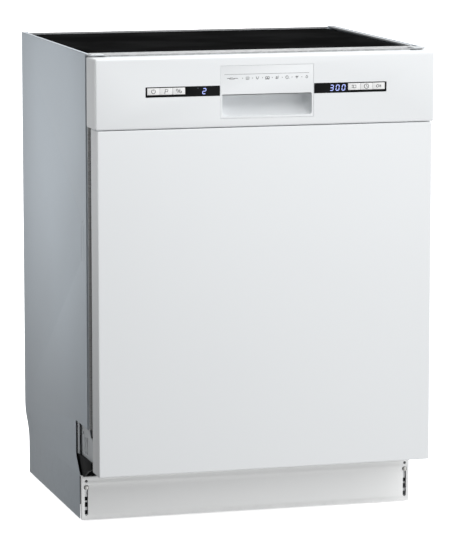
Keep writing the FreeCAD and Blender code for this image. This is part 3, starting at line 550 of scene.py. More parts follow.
def handling_group():
    """Wear where hands and feet reach: light scuffs, and dust low down."""
    group, inputs, outputs = shader_group(
        "Handling marks",
        [("Vector", "NodeSocketVector", (0, 0, 0)), ("Dust height", "NodeSocketFloat", 0.12),
         ("Scuffs", "NodeSocketFloat", 0.5)],
        [("Dust", "NodeSocketFloat"), ("Scuff", "NodeSocketFloat")])
    parts = add_node(group, "ShaderNodeSeparateXYZ")
    group.links.new(inputs.outputs["Vector"], parts.inputs[0])
    height = combine_values(group, "DIVIDE", parts.outputs["Z"], inputs.outputs["Dust height"])
    low_down = ramp(group, height, 0.0, 1.0, 1.0, 0.0)
    specks = ramp(group, noise(group, inputs.outputs["Vector"], 60.0, 5.0, 0.7), 0.4, 0.75, 0.3, 1.0)
    group.links.new(combine_values(group, "MULTIPLY", low_down, specks), outputs.inputs["Dust"])
    streaks = add_node(group, "ShaderNodeVectorMath", operation="MULTIPLY")
    streaks.inputs[1].default_value = (220.0, 220.0, 14.0)
    group.links.new(inputs.outputs["Vector"], streaks.inputs[0])
    thin = ramp(group, noise(group, streaks.outputs[0], 1.0, 3.0, 0.6), 0.66, 0.78, 0.0, 1.0)
    group.links.new(combine_values(group, "MULTIPLY", thin, inputs.outputs["Scuffs"]),
                    outputs.inputs["Scuff"])
    return group


GROUPS = {}


def use_group(tree, name, vector, **values):
    """Places a shared group in a material, with its own values."""
    makers = {"grain": grain_group, "brush": brush_group, "spangle": spangle_group,
              "handling": handling_group}
    if name not in GROUPS:
        GROUPS[name] = makers[name]()
    made = tree.nodes.new("ShaderNodeGroup")
    made.node_tree = GROUPS[name]
    tree.links.new(vector, made.inputs["Vector"])
    for label, value in values.items():
        made.inputs[label.replace("_", " ")].default_value = value
    return made.outputs


# ---------------------------------------------------------------- materials

def new_material(name, **constants):
    """A material with its Principled shader, its object coordinates, and constants set on the shader."""
    material = bpy.data.materials.new(name)
    material.use_nodes = True
    tree = material.node_tree
    shader = tree.nodes["Principled BSDF"]
    for socket, value in constants.items():
        shader.inputs[socket.replace("_", " ")].default_value = value
    coordinates = tree.nodes.new("ShaderNodeTexCoord").outputs["Object"]
    return material, tree, shader, coordinates


def bump(tree, shader, height, strength, distance):
    made = add_node(tree, "ShaderNodeBump", {"Strength": strength, "Distance": distance})
    tree.links.new(height, made.inputs["Height"])
    tree.links.new(made.outputs["Normal"], shader.inputs["Normal"])


def coated(name, colour, rough=0.3, spread=0.06, scale=1400.0, depth=0.00002, strength=0.25, dust=0.10,
           scuffs=0.25, tint=0.03, shine=0.5, lift=1.0):
    """Paint or moulding: fine grain, slightly uneven tone and gloss, dust low down and faint scuffs."""
    material, tree, shader, at = new_material(name, Coat_Weight=0.0, Coat_Roughness=0.12,
                                              Specular_IOR_Level=shine)
    # lift brightens the whole colour: painted light, used for the plinth, which sits in shade under the
    # door
    if lift != 1.0:
        colour = tuple(min(c * lift, BRIGHTEST) for c in colour)
    grain = use_group(tree, "grain", at, Scale=scale, Patches=4.0)
    marks = use_group(tree, "handling", at, Dust_height=dust, Scuffs=scuffs)
    shadow = tuple(c * (1 - tint) for c in colour)
    base = mixed(tree, grain["Tone"], shadow, colour)
    grime = tuple(c * 0.80 for c in colour)
    base = mixed(tree, ramp(tree, marks["Dust"], 0.0, 1.0, 0.0, 0.35), base, grime)
    base = mixed(tree, ramp(tree, marks["Scuff"], 0.0, 1.0, 0.0, 0.18), base, grime)
    tree.links.new(base, shader.inputs["Base Color"])
    gloss = ramp(tree, grain["Tone"], 0.0, 1.0, rough - spread / 2, rough + spread / 2)
    gloss = combine_values(tree, "ADD", gloss, ramp(tree, marks["Scuff"], 0.0, 1.0, 0.0, 0.12))
    tree.links.new(gloss, shader.inputs["Roughness"])
    bump(tree, shader, grain["Height"], strength, depth)
    return material


def metal(name, colour, pattern, rough=0.32, spread=0.12, depth=0.00002, strength=0.3, variation=0.16,
          metallic=1.0, **values):
    """Bare metal with brushed lines or zinc crystals."""
    material, tree, shader, at = new_material(name, Metallic=metallic)
    finish = use_group(tree, pattern, at, **values)
    marks = use_group(tree, "handling", at, Dust_height=0.2, Scuffs=0.4)
    dark = tuple(c * (1 - variation) for c in colour)
    base = mixed(tree, finish["Tone"], dark, colour)
    base = mixed(tree, ramp(tree, marks["Scuff"], 0.0, 1.0, 0.0, 0.2), base, tuple(c * 0.6 for c in colour))
    tree.links.new(base, shader.inputs["Base Color"])
    tree.links.new(ramp(tree, finish["Tone"], 0.0, 1.0, rough + spread / 2, rough - spread / 2),
                   shader.inputs["Roughness"])
    bump(tree, shader, finish["Height"], strength, depth)
    return material


def glossy_black(name, colour):
    """Smoked display window: deep black, glossy, with a faint unevenness of the moulding."""
    material, tree, shader, at = new_material(name, Specular_IOR_Level=0.08)
    grain = use_group(tree, "grain", at, Scale=300.0, Patches=12.0)
    tree.links.new(mixed(tree, grain["Tone"], colour, tuple(c * 1.5 for c in colour)),
                   shader.inputs["Base Color"])
    tree.links.new(ramp(tree, grain["Tone"], 0.0, 1.0, 0.10, 0.18), shader.inputs["Roughness"])
    bump(tree, shader, grain["Height"], 0.05, 0.00001)
    return material


def lit(name, colour, power):
    """Lit display segments, a little uneven across each stroke."""
    material, tree, shader, at = new_material(name, Roughness=0.5, Emission_Strength=power)
    glow = noise(tree, at, 900.0, 2.0, 0.5)
    tree.links.new(mixed(tree, glow, tuple(c * 0.75 for c in colour), colour),
                   shader.inputs["Emission Color"])
    tree.links.new(mixed(tree, glow, (0.02, 0.02, 0.03), (0.04, 0.04, 0.06)), shader.inputs["Base Color"])
    return material


def felt(name, colour):
    """Bitumen felt: matt, with a fibrous surface."""
    material, tree, shader, at = new_material(name, Specular_IOR_Level=0.0)
    grain = use_group(tree, "grain", at, Scale=520.0, Patches=9.0)
    fibres = noise(tree, at, 1600.0, 4.0, 0.7)
    tone = combine_values(tree, "MULTIPLY", grain["Tone"], fibres)
    tree.links.new(mixed(tree, tone, tuple(c * 0.6 for c in colour), tuple(c * 1.9 for c in colour)),
                   shader.inputs["Base Color"])
    tree.links.new(ramp(tree, fibres, 0.2, 0.8, 0.74, 0.92), shader.inputs["Roughness"])
    bump(tree, shader, combine_values(tree, "ADD", grain["Height"], fibres), 0.6, 0.0003)
    return material


def board_material(name, colour):
    """Circuit board: tracks under a solder mask of the given colour."""
    material, tree, shader, at = new_material(name, Coat_Weight=0.3, Coat_Roughness=0.1)
    tracks = add_node(tree, "ShaderNodeTexBrick", {"Scale": 140.0, "Mortar Size": 0.03})
    tree.links.new(at, tracks.inputs["Vector"])
    tree.links.new(mixed(tree, tracks.outputs["Fac"], (0.012, 0.10, 0.035), colour),
                   shader.inputs["Base Color"])
    tree.links.new(ramp(tree, tracks.outputs["Fac"], 0.0, 1.0, 0.35, 0.5), shader.inputs["Roughness"])
    return material


FINISHES = {
    "white_enamel": (coated, "White enamel", "white", dict(
        rough=0.32, spread=0.015, scale=1100.0, strength=0.18, dust=0.03, scuffs=0.03, tint=0.006)),
    # the door's white brightened 1.19 times: painted light, so the plinth in the door's shade reads as
    # bright as a lit face
    "plinth_enamel": (coated, "Plinth enamel", "white", dict(
        rough=0.36, spread=0.015, scale=1100.0, strength=0.18, dust=0.02, scuffs=0.03,
        tint=0.006, lift=1.19)),
    "white_plastic": (coated, "White moulding", "white", dict(
        rough=0.34, spread=0.015, scale=2200.0, strength=0.15, dust=0.02, scuffs=0.02, tint=0.006)),
    "cabinet_steel": (coated, "Cabinet sheet", "cabinet", dict(
        rough=0.42, spread=0.04, shine=0.3, scale=700.0, strength=0.3, dust=0.22, scuffs=0.4, tint=0.05)),
    "galvanised": (metal, "Galvanised sheet", "zinc", dict(
        pattern="spangle", rough=0.42, metallic=0.85, Scale=160.0, variation=0.22)),
    "stainless": (metal, "Brushed stainless", "steel", dict(
        pattern="brush", rough=0.30, spread=0.14, Stretch=(3.0, 3.0, 700.0))),
    "stainless_flat": (metal, "Brushed stainless floor", "steel", dict(
        pattern="brush", rough=0.32, spread=0.14, Stretch=(3.0, 700.0, 3.0))),
    "mesh_steel": (metal, "Filter steel", "steel", dict(
        pattern="brush", rough=0.35, Stretch=(400.0, 400.0, 3.0))),
    "zinc_screw": (metal, "Plated screw", (0.58, 0.58, 0.56), dict(
        pattern="spangle", rough=0.28, Scale=900.0)),
    "spring_steel": (metal, "Spring wire", (0.32, 0.32, 0.33), dict(
        pattern="brush", rough=0.3, Stretch=(700.0, 20.0, 700.0))),
    "black_plastic": (coated, "Black moulding", "black", dict(
        rough=0.48, scale=1500.0, strength=0.5, depth=0.00005, dust=0.05, scuffs=0.6,
        tint=0.3, shine=0.06)),
    "sound_mat": (felt, "Bitumen felt", "mat", {}),
    "seal_rubber": (coated, "Seal rubber", "rubber", dict(
        rough=0.6, scale=1800.0, strength=0.3, dust=0.1, scuffs=0.3, tint=0.2)),
    "grey_plastic": (coated, "Grey moulding", "grey", dict(
        rough=0.45, scale=1700.0, strength=0.3, dust=0.1, scuffs=0.3, tint=0.06)),
    "clear_grey_plastic": (coated, "Pale moulding", "pale", dict(
        rough=0.36, scale=1700.0, strength=0.25, dust=0.1, scuffs=0.3, tint=0.05)),
    "wire_coating": (coated, "Nylon coating", "wire", dict(
        rough=0.38, scale=2600.0, strength=0.3, dust=0.02, scuffs=0.3, tint=0.08)),
    "wheel_plastic": (coated, "Wheel moulding", (0.2, 0.22, 0.25), dict(
        rough=0.42, scale=1700.0, strength=0.3, dust=0.1, scuffs=0.5, tint=0.08)),
    "blue_cap": (coated, "Blue moulding", (0.05, 0.17, 0.38), dict(
        rough=0.35, scale=1700.0, strength=0.2, dust=0.1, scuffs=0.2, tint=0.06)),
    "window_black": (glossy_black, "Smoked window", "window", {}),
    "key_white": (coated, "Key caps", "key", dict(
        rough=0.36, scale=2400.0, strength=0.12, dust=0.02, scuffs=0.05, tint=0.02)),
    "print_ink": (coated, "Print", "print_ink", dict(
        rough=0.5, scale=2600.0, strength=0.1, dust=0.02, scuffs=0.0, tint=0.12)),
    "fine_print": (coated, "Fine print", (0.17, 0.175, 0.18), dict(
        rough=0.5, scale=2600.0, strength=0.1, dust=0.02, scuffs=0.0, tint=0.12)),
    "digits": (lit, "Display light", "digits", dict(power=1.7)),
    "dim_digits": (lit, "Dim display light", (0.35, 0.38, 0.45), dict(power=0.12)),
    "bracket_white": (coated, "Coated bracket", (0.62, 0.65, 0.67), dict(
        rough=0.4, scale=1100.0, strength=0.2, dust=0.05, scuffs=0.3, tint=0.05)),
    "board_green": (board_material, "Circuit board", (0.03, 0.2, 0.07), {}),
    "insulation": (felt, "Insulation felt", (0.03, 0.03, 0.032), {}),
}
MATERIALS = {}


def material(name):
    """Each finish of the machine, made once. A colour is the name of a setting or fixed."""
    if name not in MATERIALS:
        make, label, colour, values = FINISHES[name]
        look = bpy.context.scene.dishwasher_finish
        if isinstance(colour, str):
            colour = tuple(getattr(look, colour))
        MATERIALS[name] = make(label, colour, **values)
    return MATERIALS[name]


# ---------------------------------------------------------------- door front

def make_console(shape):
    """The console's moulded shell, open at the back, with its openings for the grip and the windows."""
    low, high = box_of("console")
    shell = tray("console_shell", low, high, "+y", 2.5 * MM, shape.console_edge)
    gap = 0.25 * MM
    cutters = []
    for node in ("grip_insert", "left_window", "right_window"):
        a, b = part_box(node)
        outline = rectangle((a.x - gap, a.z - gap), (b.x + gap, b.z + gap), 1.2 * MM)
        cutters.append(plate("way_for_" + node, "y", low.y - 0.01, low.y + 0.012, [outline]))
    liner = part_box("door_liner")
    cutters.append(solid_box("way_for_liner", (liner[0].x - gap, liner[0].y - gap, low.z - 0.01),
                             (liner[1].x + gap, high.y + 0.01, low.z + 0.006)))
    cut_out(shell, cutters)
    ribs = [solid_box("rib", (x - 0.8 * MM, low.y + 2 * MM, low.z + 3 * MM),
                      (x + 0.8 * MM, low.y + 0.014, low.z + 0.05)) for x in (-0.27, -0.235, 0.235, 0.27)]
    shell = merged("console_shell", [shell, *ribs])
    finished(shell, "white_plastic", "door", "console")


def grip_surface(shape):
    """The finger recess: a scoop whose floor curls up into the back, with sloped, rounded ends."""
    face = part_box("grip_insert")[0].y
    half = 0.079
    bottom, top = 0.7095, 0.745
    slope = 0.011
    corner = shape.grip_corner
    depth = shape.grip_depth
    columns = [-1 + 2 * i / 60 for i in range(61)]
    columns = [math.sin(c * math.pi / 2) * 0.55 + c * 0.45 for c in columns]
    rows = [i / 22 for i in range(23)]
    verts, faces = [], []
    for t in rows:
        angle = t * math.pi / 2
        z = top - (top - bottom) * math.cos(angle)
        rise = z - bottom
        inset = corner - math.sqrt(max(corner ** 2 - max(corner - rise, 0) ** 2, 0))
        reach = half - inset
        for c in columns:
            x = c * reach
            inward = min((reach - abs(x)) / slope, 1.0)
            fall = (1 - (1 - inward) ** 2.2) ** (1 / 2.2)
            verts.append((x, face + depth * math.sin(angle) * fall, z))
    width = len(columns)
    for row in range(len(rows) - 1):
        for c in range(width - 1):
            a = row * width + c
            faces.append((a, a + 1, a + width + 1, a + width))
    start = len(verts)
    for c in range(width):
        x = verts[(len(rows) - 1) * width + c][0]
        verts.append((x, face, top))
    for c in range(width - 1):
        a = (len(rows) - 1) * width + c
        faces.append((a, a + 1, start + c + 1, start + c))
    scoop = surface("grip", verts, faces)
    rim = [(v[0], v[2]) for v in verts[:width]]
    sides = [(verts[row * width][0], verts[row * width][2]) for row in range(len(rows) - 1, 0, -1)]
    others = [(verts[row * width + width - 1][0], verts[row * width + width - 1][2])
              for row in range(1, len(rows))]
    opening = sides + rim + others
    return weld(scoop), opening


def make_grip(shape):
    """The grip insert: a thin frame around the finger recess, with the recess's own thickness behind it."""
    low, high = box_of("grip_insert")
    scoop, opening = grip_surface(shape)
    thickened(scoop, 1.6 * MM, 1)
    rim = rectangle((low.x, low.z), (high.x, high.z), 1.0 * MM)
    frame_plate = plate("grip_frame", "y", low.y, low.y + 2.2 * MM, [rim, opening], 0.25 * MM)
    grip = merged("grip", [frame_plate, scoop])
    finished(grip, "white_plastic", "door", "grip_insert", smooth=38)


def make_windows():
    """The two smoked windows, with rounded outer corners and the opening for the keys."""
    for name, side in SIDES.items():
        node = name + "_window"
        low, high = box_of(node)
        outer = 2.6 * MM
        radii = [outer, 0, 0, outer] if side < 0 else [0, outer, outer, 0]
        rim = rounded([(low.x, low.z), (high.x, low.z), (high.x, high.z), (low.x, high.z)], radii)
        keys = [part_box(f"{name}_key_{number}") for number in (1, 2, 3)]
        key_low = min(k[0].x for k in keys), keys[0][0].z
        key_high = max(k[1].x for k in keys), keys[0][1].z
        gap = 0.25 * MM
        hole = rectangle((key_low[0] - gap, key_low[1] - gap), (key_high[0] + gap, key_high[1] + gap),
                         0.5 * MM)
        pane = plate(node + "_pane", "y", low.y, high.y, [rim, hole], 0.3 * MM)
        finished(pane, "window_black", "door", node, slot="window_black")


# ---------------------------------------------------------------- marks and digits

def strokes(name, paths, y, radius, finish, body):
    """Thin printed lines that stand a hair proud of a face; each path is a list of (x, z)."""
    lines = wires(name, [[(x, y, z) for x, z in path] for path in paths], radius, 1)
    dress(lines, material(finish), 60)
    return place(lines, body, "white_plastic")


def moved(paths, x, z, scale=MM):
    """Paths drawn in millimetres around their own middle, moved to a place."""
    return [[(x + u * scale, z + v * scale) for u, v in path] for path in paths]


def ring(radius, start=0, end=360, count=18, u=0.0, v=0.0):
    return arc_points((u, v), radius, start, end, count)


def box_path(width, height, u=0.0, v=0.0):
    a, b = width / 2, height / 2
    return [(u - a, v - b), (u + a, v - b), (u + a, v + b), (u - a, v + b), (u - a, v - b)]


KEY_MARKS = {
    # on and off
    "left_key_3": [ring(2.6, 118, 422, 24), [(0, 0.6), (0, 3.1)]],
    # pennant, for choosing a programme
    "left_key_2": [[(-2.0, -3.0), (-1.0, 2.6)], [(-1.0, 2.6), (2.6, 1.8), (1.6, -0.6), (-1.6, -0.2)]],
    # half load: one dish of two
    "left_key_1": [ring(1.3, u=-2.2, v=1.2), [(-1.8, -2.6), (1.8, 2.6)], ring(1.3, u=2.2, v=-1.2)],
    # extra drying
    "right_key_1": [box_path(3.6, 3.6, 0.6), [(-3.4, 1.6), (-1.6, 1.6), (-2.4, 2.4)],
                    [(-3.4, -1.0), (-1.6, -1.0)]],
    # delayed start
    "right_key_2": [ring(3.0, count=24), [(0, 2.0), (0, 0), (1.6, -0.8)]],
    # extra rinse
    "right_key_3": [ring(1.7, u=-1.6), [(1.4, -1.8), (1.4, 1.8)], [(2.8, 1.8), (2.8, -1.8)],
                    [(1.4, 0), (2.8, 0)]],
}

PROGRAMMES = [
    [box_path(3.4, 2.6), [(-0.8, 0), (0.8, 0)]],
    [[(-1.4, 1.6), (-1.0, -0.6), (1.0, -0.6), (1.4, 1.6)], [(0, -0.6), (0, -1.8)]],
    [ring(1.2, u=-1.2), ring(1.2, u=1.2), [(-2.4, -1.6), (2.4, -1.6)]],
    [[(-1.6, -1.4), (-1.2, 1.0), (1.6, 1.6), (1.0, -1.0), (-1.6, -1.4)], [(-1.6, -1.4), (0.6, 0.6)]],
    [ring(1.6, 30, 330), [(0.6, 0), (2.0, 0)], [(1.9, -1.5), (2.5, -1.5)]],
    [[(-1.6, 1.2), (0, -1.6), (1.6, 1.2)], ring(0.5, v=0.6)],
    [[(0, 1.8), (-1.3, -0.4), (0, -1.6), (1.3, -0.4), (0, 1.8)]],
]


def make_marks(shape):
    """Printed signs: one on each key, and the row of programme signs over the grip."""
    proud = 0.28 * MM
    for key, paths in KEY_MARKS.items():
        low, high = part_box(key)
        x, z = (low.x + high.x) / 2, (low.z + high.z) / 2
        strokes(key + "_mark", moved(paths, x, z, 1.30 * MM), low.y + shape.stroke - proud, shape.stroke,
                "print_ink", key)
    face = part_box("grip_insert")[0].y
    y = face + shape.stroke - proud
    signs, pitch, first = [], 17.4 * MM, -34.5 * MM
    for i, paths in enumerate(PROGRAMMES):
        signs += moved(paths, first + pitch * i, SIGN_Z, 1.5 * MM)
        signs += moved([ring(0.3, count=8)], first + pitch * (i - 0.5), SIGN_Z)
    signs += moved([[(-10, 0.4), (-4, 0.4)], [(-5, 1.1), (0, 1.1)], [(-6, -0.9), (3, -0.9)],
                    [(1, 0.2), (9, 0.2)]], -60.5 * MM, SIGN_Z)
    strokes("programme_signs", signs, y, shape.stroke, "fine_print", "door")
    strokes("programme_line", [[(-0.075, 0.7804), (0.074, 0.7804)]], y, shape.stroke * 0.8, "fine_print",
            "door")


SEGMENTS = {"2": "abged", "3": "abgcd", "0": "abcdef"}


def digit_outlines(sign, x, z, width, height, thick, lean):
    """The lit bars of one seven-segment digit, as closed outlines."""
    half = height / 2
    gap = thick * 0.16
    bars = {
        "a": ((0, height), (width, height)), "d": ((0, 0), (width, 0)), "g": ((0, half), (width, half)),
        "f": ((0, half), (0, height)), "e": ((0, 0), (0, half)),
        "b": ((width, half), (width, height)), "c": ((width, 0), (width, half)),
    }
    outlines = []
    for letter in SEGMENTS[sign]:
        start, end = Vector(bars[letter][0]), Vector(bars[letter][1])
        along = (end - start).normalized()
        across = Vector((-along.y, along.x)) * thick / 2
        start, end = start + along * gap, end - along * gap
        tip = along * thick / 2
        corners = [start, start + tip + across, end - tip + across, end, end - tip - across,
                   start + tip - across]
        outlines.append([(x + c.x + c.y * lean, z + c.y) for c in corners])
    return outlines


def make_digits():
    """The lit digits in the windows."""
    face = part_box("left_window")[0].y
    height, width, thick, lean = 9.0 * MM, 5.2 * MM, 1.15 * MM, 0.12
    z = mid("left_window").z - height / 2
    shows = {"left": [("2", -0.1133)], "right": [("3", 0.1112), ("0", 0.1216), ("0", 0.1322)]}
    for name, signs in shows.items():
        bars = []
        for sign, x in signs:
            for outline in digit_outlines(sign, x, z, width, height, thick, lean):
                bars.append(plate("bar", "y", face - 0.1 * MM, face + 0.2 * MM, [outline]))
        lit_bars = merged(name + "_digits", bars)
        finished(lit_bars, "digits", "door", slot="window_black")
    dot = plate("status_dot", "y", face - 0.08 * MM, face + 0.2 * MM,
                [circle(-0.1212, 0.7588, 0.8 * MM, 16)])
    finished(dot, "dim_digits", "door", slot="window_black")


def make_keys():
    """The keys: caps with soft edges."""
    for name in SIDES:
        for number in (1, 2, 3):
            node = f"{name}_key_{number}"
            low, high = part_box(node)
            cap = solid_box(node + "_cap", low, high, 0.45 * MM, 3)
            finished(cap, "key_white", node, node, slot="key_white")


def make_door_panel(shape):
    """The outer door: a painted steel tray with rolled edges and a return flange at the back."""
    low, high = box_of("door_panel")
    skin = tray("door_skin", low, high, "+y", shape.sheet, shape.panel_edge, 5)
    finished(skin, "white_enamel", "door", "door_panel", smooth=40)
    lip = 14 * MM
    wall = shape.sheet
    outer = rectangle((low.x + wall, low.z + wall), (high.x - wall, high.z - wall), 3 * MM)
    inner = rectangle((low.x + lip, low.z + lip), (high.x - lip, high.z - lip), 6 * MM)
    back = plate("door_return_flange", "y", high.y - wall, high.y, [outer, inner], 0.3 * MM)
    finished(back, "galvanised", "door")
    batt_low = low + Vector((lip, 4 * MM, lip))
    batt_high = high - Vector((lip, 3 * MM, lip))
    batt = solid_box("door_insulation", batt_low, batt_high, 6 * MM)
    finished(batt, "insulation", "door", slot="sound_mat")


# ---------------------------------------------------------------- cabinet

def smooth_step(value, low, high):
    t = min(max((value - low) / (high - low), 0.0), 1.0)
    return t * t * (3 - 2 * t)


def pressed_sheet(name, axis, low, high, across, up, height, thickness, turn=1):
    """A pressed sheet: a grid from low to high, (u, v), whose height comes from height(u, v)."""
    verts, faces = [], []
    for j in range(up + 1):
        v = low[1] + (high[1] - low[1]) * j / up
        for i in range(across + 1):
            u = low[0] + (high[0] - low[0]) * i / across
            h = height(u, v)
            verts.append({"x": (h, u, v), "y": (u, h, v), "z": (u, v, h)}[axis])
    for j in range(up):
        for i in range(across):
            a = j * (across + 1) + i
            faces.append((a, a + 1, a + across + 2, a + across + 1))
    return weld(thickened(surface(name, verts, faces), thickness, turn))


def inset_of(u, v, low, high, corner):
    """How far a point lies inside a rounded rectangle (negative outside)."""
    middle = ((low[0] + high[0]) / 2, (low[1] + high[1]) / 2)
    a = abs(u - middle[0]) - (high[0] - low[0]) / 2 + corner
    b = abs(v - middle[1]) - (high[1] - low[1]) / 2 + corner
    outside = math.hypot(max(a, 0), max(b, 0)) + min(max(a, b), 0)
    return corner - outside


def opening_outline(side_low, side_high):
    """The side sheet's outline, with the hinge opening in front and the recess for pipes behind."""
    front, rear, low, high = side_low.y, side_high.y, side_low.z, side_high.z
    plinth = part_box("plinth")
    foot, step = plinth[1].y + 1.0 * MM, plinth[1].z
    recess = rear - 35 * MM
    back, slope = front + 90 * MM, 30 * MM
    knee, knee_top = 0.078, 0.114
    points = [(front, high), (rear, high), (rear, knee_top), (recess, knee), (recess, low), (foot, low),
              (foot, step), (back - slope, step), (back, step + slope), (back, OPENING_TOP),
              (front, OPENING_TOP),]
    radii = [0, 0, 16 * MM, 30 * MM, 2 * MM, 1 * MM, 0.5 * MM, 3 * MM, 8 * MM, 2 * MM, 1 * MM]
    return rounded(points, radii)


def make_side_panels(shape):
    """The folded side sheets, with the screw hole and the bending tab in each."""
    sheet = shape.sheet
    for name, side in SIDES.items():
        node = name + "_side_panel"
        low, high = box_of(node)
        outer = high.x if side > 0 else low.x
        inner = outer - side * sheet
        tab_y, tab_half, slit, tab_low, tab_high = low.y + 0.027, 0.010, 1.5 * MM, 0.458, 0.519
        holes = [circle(low.y + 0.029, 0.5265, 1.6 * MM, 16)]
        for y in (tab_y - tab_half, tab_y + tab_half - slit):
            holes.append(rectangle((y, tab_low), (y + slit, tab_high), 0.7 * MM, 4))
        skin = plate("skin", "x", min(inner, outer), max(inner, outer),
                     [opening_outline(low, high), *holes], 0.18 * MM)
        top, fold = 6 * MM, 12 * MM
        strips = [
            ((outer - side * top, low.y, high.z - sheet), (outer, high.y, high.z)),
            ((outer - side * fold, low.y, OPENING_TOP), (outer, low.y + sheet, high.z - 3 * MM)),
            ((outer - side * fold, high.y - sheet, 0.125), (outer, high.y, high.z)),
        ]
        folds = [
            solid_box("fold", [min(a, b) for a, b in zip(*corners)], [max(a, b) for a, b in zip(*corners)],
                      0.3 * MM, 2)
            for corners in strips
        ]
        panel = merged(node + "_sheet", [skin, *folds])
        finished(panel, "cabinet_steel", "cabinet", node, slot="cabinet_steel")


def make_rear_panel(shape):
    """The rear sheet, with pressed fields and ribs that stiffen it, and its rim screws."""
    low, high = box_of("rear_panel")
    depth = 3.0 * MM

    def height(x, z):
        lift = 0.0
        for bottom, top in ((low.z + 0.05, low.z + 0.33), (low.z + 0.37, high.z - 0.05)):
            edge = inset_of(x, z, (low.x + 0.05, bottom), (high.x - 0.05, top), 0.03)
            lift += smooth_step(edge, 0.0, 7 * MM)
            for rib in (-0.12, 0.0, 0.12):
                bar = inset_of(x, z, (rib - 0.012, bottom + 0.04), (rib + 0.012, top - 0.04), 0.012)
                lift -= 0.8 * smooth_step(bar, 0.0, 6 * MM)
        return high.y - depth * max(lift, 0.0)

    sheet = pressed_sheet("rear_sheet", "y", (low.x, low.z), (high.x, high.z), 150, 170, height,
                          shape.sheet, 1)
    finished(sheet, "galvanised", "cabinet", "rear_panel", smooth=45)
    heads = []
    for x in (low.x + 0.015, high.x - 0.015):
        for i in range(5):
            z = low.z + 0.03 + (high.z - low.z - 0.06) * i / 4
            heads.append(screw_head("screw", "y", (x, high.y - 0.2 * MM, z), 4.0 * MM, 1.7 * MM, 1))
    screws = merged("rear_screws", heads)
    finished(screws, "zinc_screw", "cabinet")


def screw_head(name, axis, place_at, radius, height, outward):
    """A domed cross-recess screw head; outward is +1 or -1 along the axis."""
    profile = [(AXIS, -0.3 * MM), (radius, -0.3 * MM), (radius, height * 0.35)]
    profile += [(radius * math.cos(math.radians(a)), height * (0.35 + 0.65 * math.sin(math.radians(a))))
                for a in range(18, 76, 14)]
    profile.append((AXIS, height))
    head = lathe(name, axis, (0, 0, 0), [(r, h * outward) for r, h in profile], 24)
    head.data.transform(Matrix.Translation(place_at))
    at = Vector(place_at)
    index = "xyz".index(axis)
    cross = []
    for turned in (0, 1):
        size = Vector((0, 0, 0))
        others = [i for i in range(3) if i != index]
        size[index] = height * 2
        size[others[turned]] = radius * 1.15
        size[others[1 - turned]] = radius * 0.24
        middle = at.copy()
        middle[index] += outward * height * 1.45
        cross.append(solid_box("cross", middle - size / 2, middle + size / 2))
    return cut_out(head, cross)


def make_top():
    """Crossbars, the worktop brackets, the sound mat, and a light strip beside it as a painted highlight.
    """
    low, high = box_of("top_front_crossbar")
    sheet = 1.4 * MM
    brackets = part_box("worktop_brackets")
    hole_y, hole_x = brackets[0].y + 13 * MM, brackets[1].x - 12 * MM
    holes = [circle(side * hole_x, hole_y, 2.5 * MM, 18) for side in SIDES.values()]
    slots = [rectangle((x - 0.012, low.y + 0.034), (x + 0.012, low.y + 0.039), 2.4 * MM)
             for x in (-0.21, -0.07, 0.07, 0.21)]
    web = plate("web", "z", high.z - sheet, high.z, [rectangle(low.xy, high.xy, 1 * MM), *holes, *slots],
                0.2 * MM)
    lip = solid_box("lip", (low.x, high.y - sheet, low.z), (high.x, high.y, high.z), 0.3 * MM)
    step = solid_box("lip", (low.x + 0.028, low.y, high.z - 7 * MM),
                     (high.x - 0.028, low.y + sheet, high.z), 0.4 * MM)
    bar = merged("front_crossbar", [web, lip, step])
    finished(bar, "galvanised", "cabinet", "top_front_crossbar")

    low, high = box_of("top_rear_crossbar")
    web = solid_box("web", (low.x, low.y, high.z - sheet), high, 0.3 * MM)
    lip = solid_box("lip", low, (high.x, low.y + sheet, high.z), 0.3 * MM)
    bar = merged("rear_crossbar", [web, lip])
    finished(bar, "galvanised", "cabinet", "top_rear_crossbar")

    low, high = brackets
    plates = []
    for side in SIDES.values():
        x0, x1 = mirrored(side, high.x - 26 * MM, high.x)
        outline = rounded([(x0, low.y), (x1, low.y), (x1, high.y), (x0, high.y)], 3 * MM)
        plates.append(plate("bracket", "z", low.z, high.z, [outline,
                                                            circle(side * hole_x, hole_y, 2.5 * MM, 18)],
                            0.2 * MM))
        turn = solid_box("turn", (x0 + 2 * MM, low.y + 1 * MM, low.z),
                         (x0 + 5 * MM, high.y - 2 * MM, high.z), 0.4 * MM)
        plates.append(turn)
    pair = merged("worktop_bracket_plates", plates)
    finished(pair, "bracket_white", "cabinet", "worktop_brackets")
    make_mat()
    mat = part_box("top_mat")
    # a light strip filling the gap between the mat and the right side sheet: painted highlight, so that
    # band reads light instead of shaded
    strip = solid_box("cabinet_trim_strip", (mat[1].x + 0.4 * MM, mat[0].y + 1 * MM, mat[1].z),
                      (mat[1].x + 5.6 * MM, mat[1].y - 2 * MM, mat[1].z + 3.4 * MM), 0.5 * MM)
    finished(strip, "bracket_white", "cabinet", slot="galvanised")


def make_mat():
    """The sound mat: a thin moulded felt cover with soft edges and a shallow pressed field."""
    low, high = box_of("top_mat")

    def height(x, y):
        edge = inset_of(x, y, (low.x, low.y), (high.x, high.y), 10 * MM)
        top = high.z - (high.z - low.z) * (1 - smooth_step(edge, -2 * MM, 5 * MM))
        field = inset_of(x, y, (low.x + 0.03, low.y + 0.03), (high.x - 0.03, high.y - 0.03), 0.03)
        wave = 0.35 * MM * math.sin(x * 21) * math.cos(y * 17)
        return top - 0.9 * MM * smooth_step(field, 0, 8 * MM) + wave * smooth_step(field, 0,
                0.05) - 0.4 * MM

    sheet = pressed_sheet("top_cover_mat", "z", (low.x, low.y), (high.x, high.y), 130, 110, height, 2 * MM,
                          -1)
    finished(sheet, "sound_mat", "cabinet", "top_mat", smooth=50)


